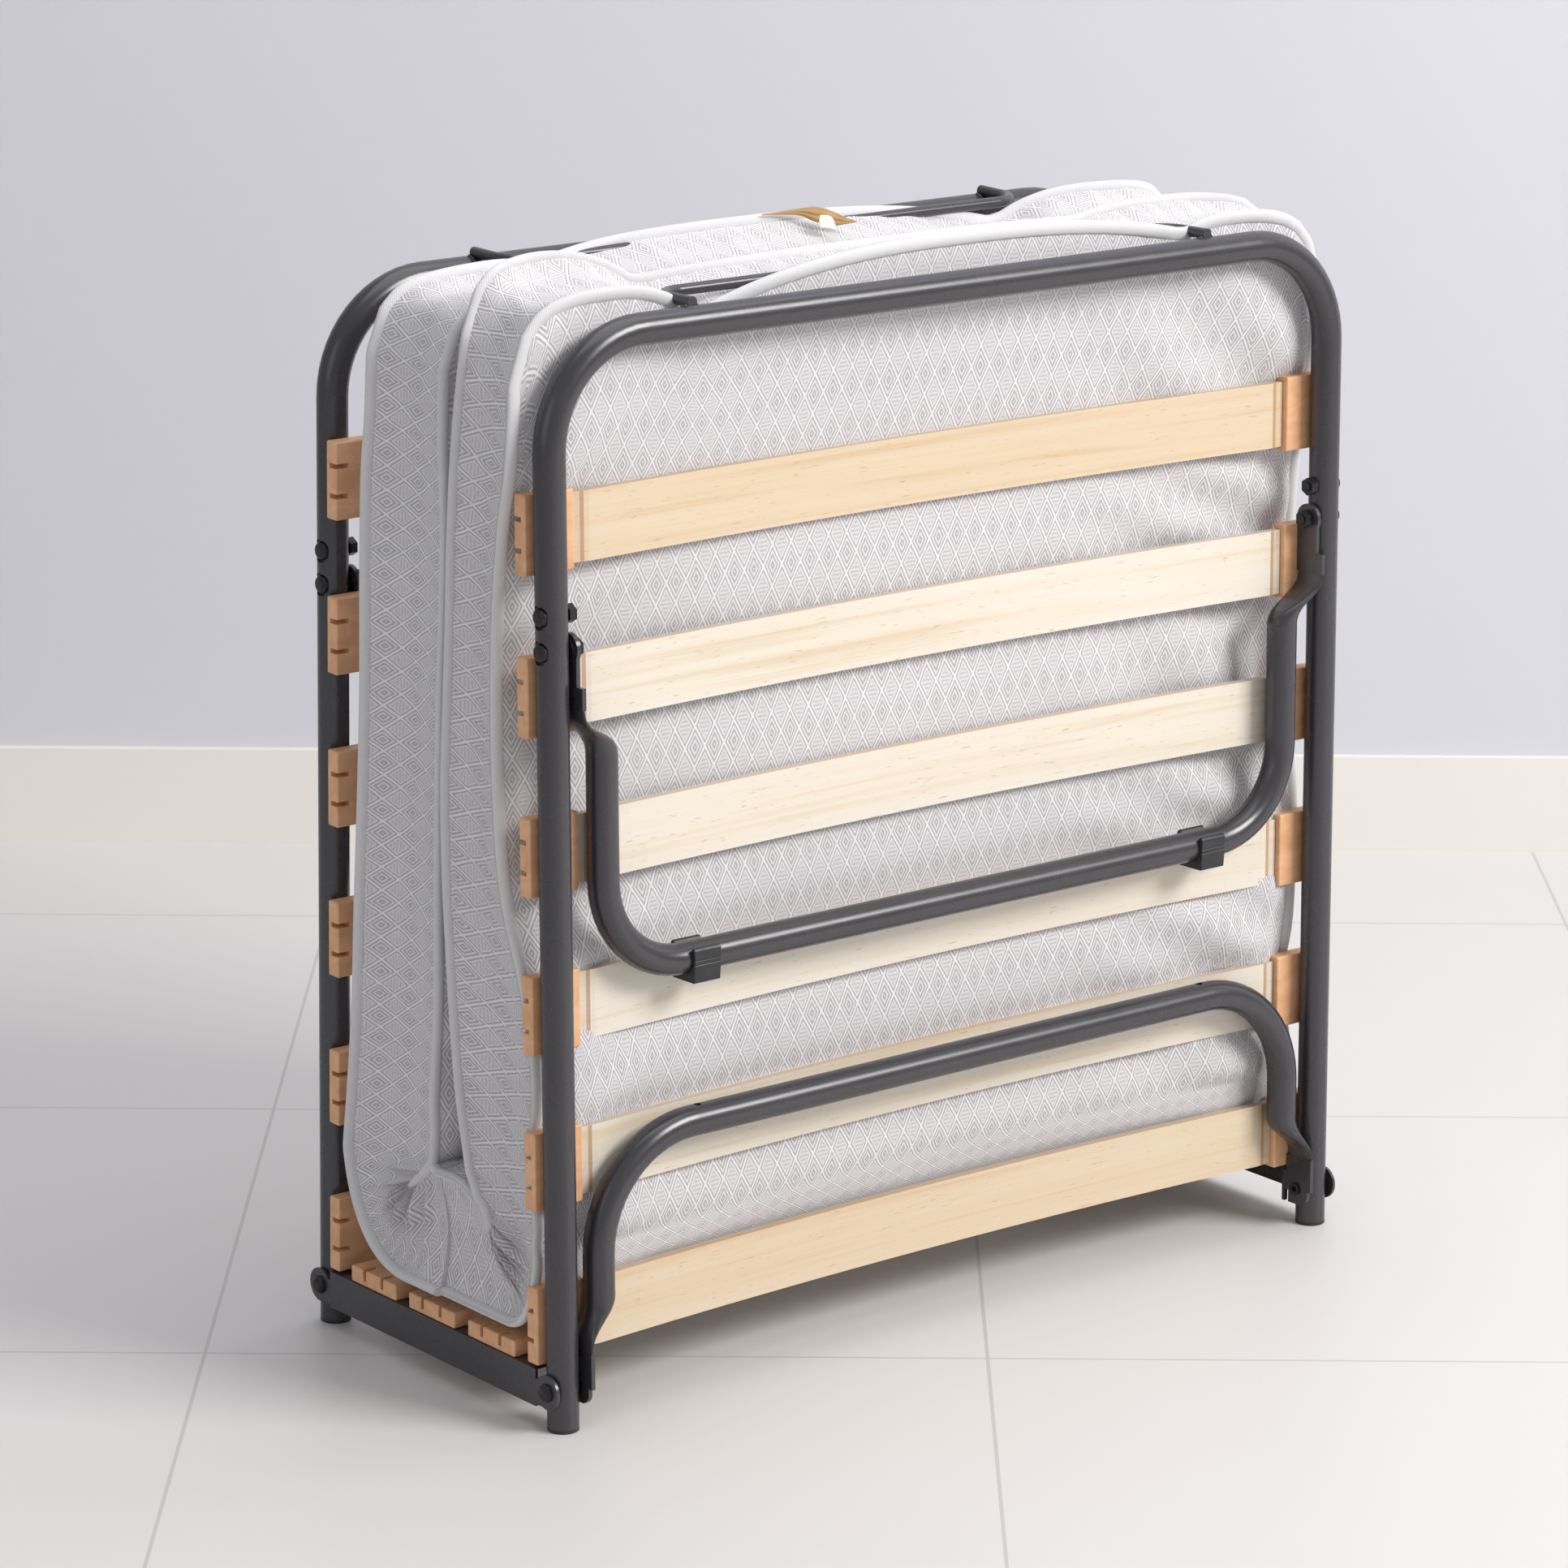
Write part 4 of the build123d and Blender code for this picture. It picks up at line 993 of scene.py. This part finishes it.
def glide_outline():
    """Side view of the snap-on glide: slanted front wall, flat sole, rear jaw that ends in a bead."""
    front = [(-0.0112, 0.0085), (-0.0128, 0.0098), (-0.0148, 0.0094), (-0.0155, 0.0080)]
    front += [(-0.0155, 0.0006), (-0.0150, 0.0000), (-0.0155, -0.0006), (-0.0154, -0.0030)]
    front += [(-0.0150, -0.0035), (-0.0153, -0.0040), (-0.0142, -0.0174), (-0.0135, -0.0180)]
    sole = [(0.0125, -0.0180), (0.0135, -0.0172), (0.0150, -0.0040), (0.0153, 0.0050)]
    bead = []
    for step in range(9):
        angle = math.radians(-20.0 + 200.0 * step / 8)
        bead.append((0.0124 + 0.0030 * math.cos(angle), 0.0082 + 0.0036 * math.sin(angle)))
    bore = []
    for step in range(25):
        angle = math.radians(36.0 - 252.0 * step / 24)
        bore.append((GLIDE_BORE * math.cos(angle), GLIDE_BORE * math.sin(angle)))
    return front + sole + bead + bore[1:-1]


def leg_glides():
    """Black glides clipped on the end legs' crossbars."""
    outline = glide_outline()
    for half in ("front", "rear"):
        made = bmesh.new()
        for side in (-1, 1):
            ends = [side * FOOT_X - GLIDE_LENGTH / 2, side * FOOT_X + GLIDE_LENGTH / 2]
            rings = [[made.verts.new((x, y, CROSSBAR + z)) for y, z in outline] for x in ends]
            count = len(outline)
            for i in range(count):
                j = (i + 1) % count
                made.faces.new((rings[0][i], rings[0][j], rings[1][j], rings[1][i]))
            made.faces.new(rings[0][::-1])
            made.faces.new(rings[1])
        bmesh.ops.recalc_face_normals(made, faces=made.faces)
        rims = [e for e in made.edges if any(len(f.verts) > 4 for f in e.link_faces)]
        bmesh.ops.bevel(made, geom=rims, offset=GLIDE_BEVEL, segments=2, affect="EDGES")
        made.transform(in_half(half))
        mesh = bpy.data.meshes.new(f"{half}_clip_glides")
        made.to_mesh(mesh)
        made.free()
        piece = keep_piece(f"{half}_clip_glides", mesh, BLACK_PLASTIC, f"{half}_end_leg")
        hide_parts(f"{half}_leg_glides")


def weld_tree():
    """Geometry Nodes: a bead of overlapping weld drops along a line."""
    t = Shaper("weld_bead", Line="Geometry", Step="Float", Drop="Float", Paint="Material")
    shape = {"Segments": 10, "Rings": 6, "Radius": t.given["Drop"]}
    drop = t.node("GeometryNodeMeshUVSphere", shape).outputs["Mesh"]
    vary = t.node("FunctionNodeRandomValue", {2: 0.8, 3: 1.2, "Seed": 4}, data_type="FLOAT").outputs[1]
    beads = t.run("GeometryNodeInstanceOnPoints", {"Points": t.line("Step"), "Instance": drop, "Scale": vary})
    return t.end(t.run("GeometryNodeSetShadeSmooth", {0: beads}), "Paint")


BAR_HEIGHT = 0.8155
HOOP_HALF = 0.262
WELD_SPREAD = 0.0054         # bead beside the rod's axis
WELD_DROP = 0.0015
WELD_ARC_DEG = (6.0, 58.0)


def hoop_welds():
    """Weld beads where the hoops' rods lie on the top bars."""
    tree = weld_tree()
    for half in ("front", "rear"):
        points, edges = [], []
        for side in (-1, 1):
            for beside in (-1, 1):
                first = len(points)
                for step in range(8):
                    angle = math.radians(WELD_ARC_DEG[0] + (WELD_ARC_DEG[1] - WELD_ARC_DEG[0]) * step / 7)
                    x = side * HOOP_HALF + beside * WELD_SPREAD
                    points.append((x, TUBE_R * math.sin(angle), BAR_HEIGHT + TUBE_R * math.cos(angle)))
                edges += [(first + i, first + i + 1) for i in range(7)]
        mesh = bpy.data.meshes.new(f"{half}_hoop_welds")
        mesh.from_pydata(points, edges, [])
        mesh.transform(in_half(half))
        piece = bpy.data.objects.new(f"{half}_hoop_welds", mesh)
        scene.collection.objects.link(piece)
        with_tree(piece, tree, Step=0.0022, Drop=WELD_DROP, Paint=PAINT)
        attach(piece, f"{half}_half")


# Ribbon over the rear edge: (x, y, z, half width), from its left tail to its right tail, in metres
RIBBON_RUN = (
    (-0.0180, 0.084, 0.8768, 0.0004), (0.0047, 0.080, 0.8770, 0.0016), (0.0154, 0.074, 0.8774, 0.0032),
    (0.0228, 0.068, 0.8762, 0.0060), (0.0322, 0.063, 0.8742, 0.0066), (0.0399, 0.060, 0.8714, 0.0056),
    (0.0460, 0.056, 0.8697, 0.0028), (0.0546, 0.052, 0.8684, 0.0005),
)
RIBBON_TILT_DEG = 60.0       # ribbon's width above the level
RIBBON_STEPS = 36
RIBBON_ACROSS = 13
RIBBON_FOLDS = 2.5
RIBBON_FOLD = 0.0008
RIBBON_WIDEST = 0.0066
RIBBON_THICK = 0.0009


def sheet_mesh(name, points, across):
    """Smooth sheet through rows of points."""
    faces = []
    for i in range(len(points) // across - 1):
        for j in range(across - 1):
            k = i * across + j
            faces.append((k, k + across, k + across + 1, k + 1))
    mesh = bpy.data.meshes.new(name)
    mesh.from_pydata([tuple(p) for p in points], [], faces)
    mesh.polygons.foreach_set("use_smooth", [True] * len(faces))
    return mesh


def tie_ribbon():
    """Golden ribbon twisted over the rear hoop."""
    run = np.array(RIBBON_RUN)
    at = np.linspace(0, 1, len(run))
    t = np.linspace(0, 1, RIBBON_STEPS)
    line = np.stack([smooth_line(list(zip(at, run[:, k])), t) for k in range(4)], 1)
    along = np.gradient(line[:, :3], axis=0)
    along /= np.linalg.norm(along, axis=1)[:, None]
    upright = np.array((0.0, 0.0, 1.0))
    tilt = math.radians(RIBBON_TILT_DEG)
    across = np.cross(upright, along)
    across /= np.linalg.norm(across, axis=1)[:, None]
    across = across * math.cos(tilt) + upright * math.sin(tilt)
    facing = np.cross(along, across)
    points = []
    for i in range(RIBBON_STEPS):
        for j in range(RIBBON_ACROSS):
            b = 2 * j / (RIBBON_ACROSS - 1) - 1
            spot = line[i, :3] + across[i] * b * line[i, 3]
            fold = math.sin(math.pi * RIBBON_FOLDS * b + 1.5 * t[i])
            lift = RIBBON_FOLD * fold * line[i, 3] / RIBBON_WIDEST - 0.35 * line[i, 3] * b * b
            points.append(tuple(spot + facing[i] * lift))
    mesh = sheet_mesh("tie_ribbon", points, RIBBON_ACROSS)
    piece = keep_piece("tie_ribbon", mesh, RIBBON, "rear_half")
    finish_sheet(piece, RIBBON_THICK)
    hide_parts("mattress_tie")


TAB_PLACE = (0.0245, 0.053, 0.8700)
TAB_SIZE = (0.018, 0.012)
TAB_TURN_DEG = (56.0, 6.0, -14.0)
TAB_CURL = 0.0022
TAB_THICK = 0.0012
TAB_STEPS = 9
TAB_NARROWER = 0.28          # taper towards its upper edge


def cream_tab():
    """Stiff tab folded over the ribbon's end, its lower corners rounded."""
    turn = Matrix.Translation(TAB_PLACE)
    for axis, angle in zip("XYZ", TAB_TURN_DEG):
        turn = turn @ Matrix.Rotation(math.radians(angle), 4, axis)
    points = []
    for i in range(TAB_STEPS):
        for j in range(TAB_STEPS):
            u = i / (TAB_STEPS - 1) - 0.5
            v = j / (TAB_STEPS - 1) - 0.5
            narrow = 1.0 - TAB_NARROWER * (v + 0.5) ** 2
            bend = TAB_CURL * (1 - 4 * u * u)
            points.append(turn @ Vector((u * TAB_SIZE[0] * narrow, v * TAB_SIZE[1], bend)))
    mesh = sheet_mesh("cream_tab", points, TAB_STEPS)
    piece = keep_piece("cream_tab", mesh, CREAM, "rear_half")
    finish_sheet(piece, TAB_THICK)
    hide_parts("tie_tab")


def finish_sheet(piece, thickness):
    """Gives a thin piece its thickness and rounds it."""
    wall = piece.modifiers.new("thickness", "SOLIDIFY")
    wall.thickness = thickness
    wall.offset = 0.0
    step = piece.modifiers.new("round", "SUBSURF")
    step.levels = 1
    step.render_levels = 1
    plain_mesh(piece)


def camera():
    """The camera at the picture's place."""
    data = bpy.data.cameras.new("camera")
    data.sensor_width = SENSOR_MM
    data.lens = LENS_MM
    data.clip_end = 100.0
    view = bpy.data.objects.new("camera", data)
    turn = Matrix.Rotation(math.radians(AZIMUTH_DEG), 4, "Z")
    turn = turn @ Matrix.Rotation(math.radians(90.0 - ELEVATION_DEG), 4, "X")
    turn = turn @ Matrix.Rotation(math.radians(ROLL_DEG), 4, "Z")
    view.matrix_world = Matrix.Translation(EYE) @ turn
    scene.collection.objects.link(view)
    scene.camera = view


FLOOR_COLOUR = (0.675, 0.655, 0.645)
JOINT_COLOUR = (0.52, 0.50, 0.49)
WALL_COLOUR = (0.645, 0.65, 0.698)
SKIRTING_COLOUR = (0.80, 0.77, 0.73)
WALL_BEHIND = 1.325
SKIRTING_SIZE = (0.012, 0.102)
TILE = 0.625
JOINT = 0.003
TILE_SHIFT = (0.505, 0.209)


def stage_material(name, colour):
    """Plain painted surface with a faint cloud, open to views from behind it."""
    f = Finish(name)
    cloud = f.noise(f.place(), 1.3, 3.0)
    dark = tuple(c * 0.975 for c in colour)
    f.bump(f.noise(f.place(), 240.0, 3.0), 0.0003, 0.2)
    behind = f.node("ShaderNodeNewGeometry", {}).outputs["Backfacing"]
    clear = f.node("ShaderNodeBsdfTransparent", {}).outputs[0]
    either = f.node("ShaderNodeMixShader", {0: behind, 1: f.shader.outputs[0], 2: clear}).outputs[0]
    f.put(f.tree.nodes["Material Output"].inputs["Surface"], either)
    return f.finish(Base_Color=f.mix(cloud, dark, colour), Roughness=0.75)


def tiles():
    """Glazed floor tiles with narrow joints, square to the wall."""
    f = Finish("floor")
    where = f.place((0.0, 0.0, 0.0), (0.0, 0.0, math.radians(AZIMUTH_DEG)))
    away = []
    for value, shift in zip(f.split(where)[0:2], TILE_SHIFT):
        part = f.math("FRACT", f.math("DIVIDE", f.math("ADD", value, shift), TILE))
        away.append(f.math("ABSOLUTE", f.math("SUBTRACT", f.math("MULTIPLY", part, 2.0), 1.0)))
    joint = f.math("GREATER_THAN", f.math("MAXIMUM", *away), 1.0 - JOINT / TILE)
    cloud = f.noise(where, 2.1, 3.0)
    glaze = f.mix(cloud, tuple(c * 0.97 for c in FLOOR_COLOUR), FLOOR_COLOUR)
    f.bump(f.noise(where, 9.0, 2.0), 0.0006, 0.3)
    roughness = f.span(cloud, 0.3, 0.7, 0.42, 0.5)
    return f.finish(Base_Color=f.mix(joint, glaze, JOINT_COLOUR), Roughness=roughness)


def stage():
    """Tiled floor, and a plain wall with its skirting across the line of sight."""
    size = 8.0
    turn = math.radians(AZIMUTH_DEG)
    ahead = Vector((-math.sin(turn), math.cos(turn), 0.0))
    aside = Vector((ahead.y, -ahead.x, 0.0))
    ground = bpy.data.meshes.new("floor")
    square = [(-size, -size, 0.0), (size, -size, 0.0), (size, size, 0.0), (-size, size, 0.0)]
    ground.from_pydata(square, [], [(0, 1, 2, 3)])
    ground.materials.append(tiles())

    def upright(name, back, low, high, colour):
        foot = ahead * back
        ends = (foot - aside * size, foot + aside * size)
        corners = [(ends[0].x, ends[0].y, low), (ends[1].x, ends[1].y, low)]
        corners += [(ends[1].x, ends[1].y, high), (ends[0].x, ends[0].y, high)]
        mesh = bpy.data.meshes.new(name)
        mesh.from_pydata(corners, [], [(0, 1, 2, 3)])
        mesh.materials.append(stage_material(name, colour))
        return mesh

    thick, tall = SKIRTING_SIZE
    wall = upright("wall", WALL_BEHIND, 0.0, 6.0, WALL_COLOUR)
    board = upright("skirting", WALL_BEHIND - thick, 0.0, tall, SKIRTING_COLOUR)
    edge = bpy.data.meshes.new("skirting_top")
    near = ahead * (WALL_BEHIND - thick)
    far = ahead * WALL_BEHIND
    corners = [near - aside * size, near + aside * size, far + aside * size, far - aside * size]
    edge.from_pydata([(c.x, c.y, tall) for c in corners], [], [(0, 1, 2, 3)])
    edge.materials.append(board.materials[0])
    for mesh in (ground, wall, board, edge):
        piece = bpy.data.objects.new(mesh.name, mesh)
        scene.collection.objects.link(piece)


def lamp(name, place, target, size, watts, colour):
    data = bpy.data.lights.new(name, "AREA")
    data.shape = "RECTANGLE"
    data.size, data.size_y = size
    data.energy = watts
    data.color = colour
    light = bpy.data.objects.new(name, data)
    direction = Vector(target) - Vector(place)
    light.matrix_world = Matrix.Translation(place) @ direction.to_track_quat("-Z", "Y").to_matrix().to_4x4()
    scene.collection.objects.link(light)


def lights():
    """A broad soft key from the right front, a weak fill from the left, and an even room."""
    lamp("key", (2.4, -4.35, 3.83), (0.0, 0.0, 0.45), (2.7, 2.1), 328.0, (1.0, 0.985, 0.96))
    lamp("top", (0.2, -0.2, 3.2), (0.0, 0.0, 0.4), (2.4, 2.4), 30.0, (1.0, 1.0, 1.0))
    lamp("fill", (-3.2, -0.6, 1.6), (0.0, 0.0, 0.45), (1.6, 1.6), 6.0, (0.96, 0.98, 1.0))
    world = bpy.data.worlds.new("room")
    world.use_nodes = True
    background = world.node_tree.nodes["Background"]
    background.inputs["Color"].default_value = (0.95, 0.97, 1.0, 1.0)
    background.inputs["Strength"].default_value = 0.455
    scene.world = world


dress_frame()
dress_slats()
mattress()
leg_glides()
hoop_welds()
tie_ribbon()
cream_tab()
camera()
stage()
lights()
scene.view_settings.view_transform = "Standard"
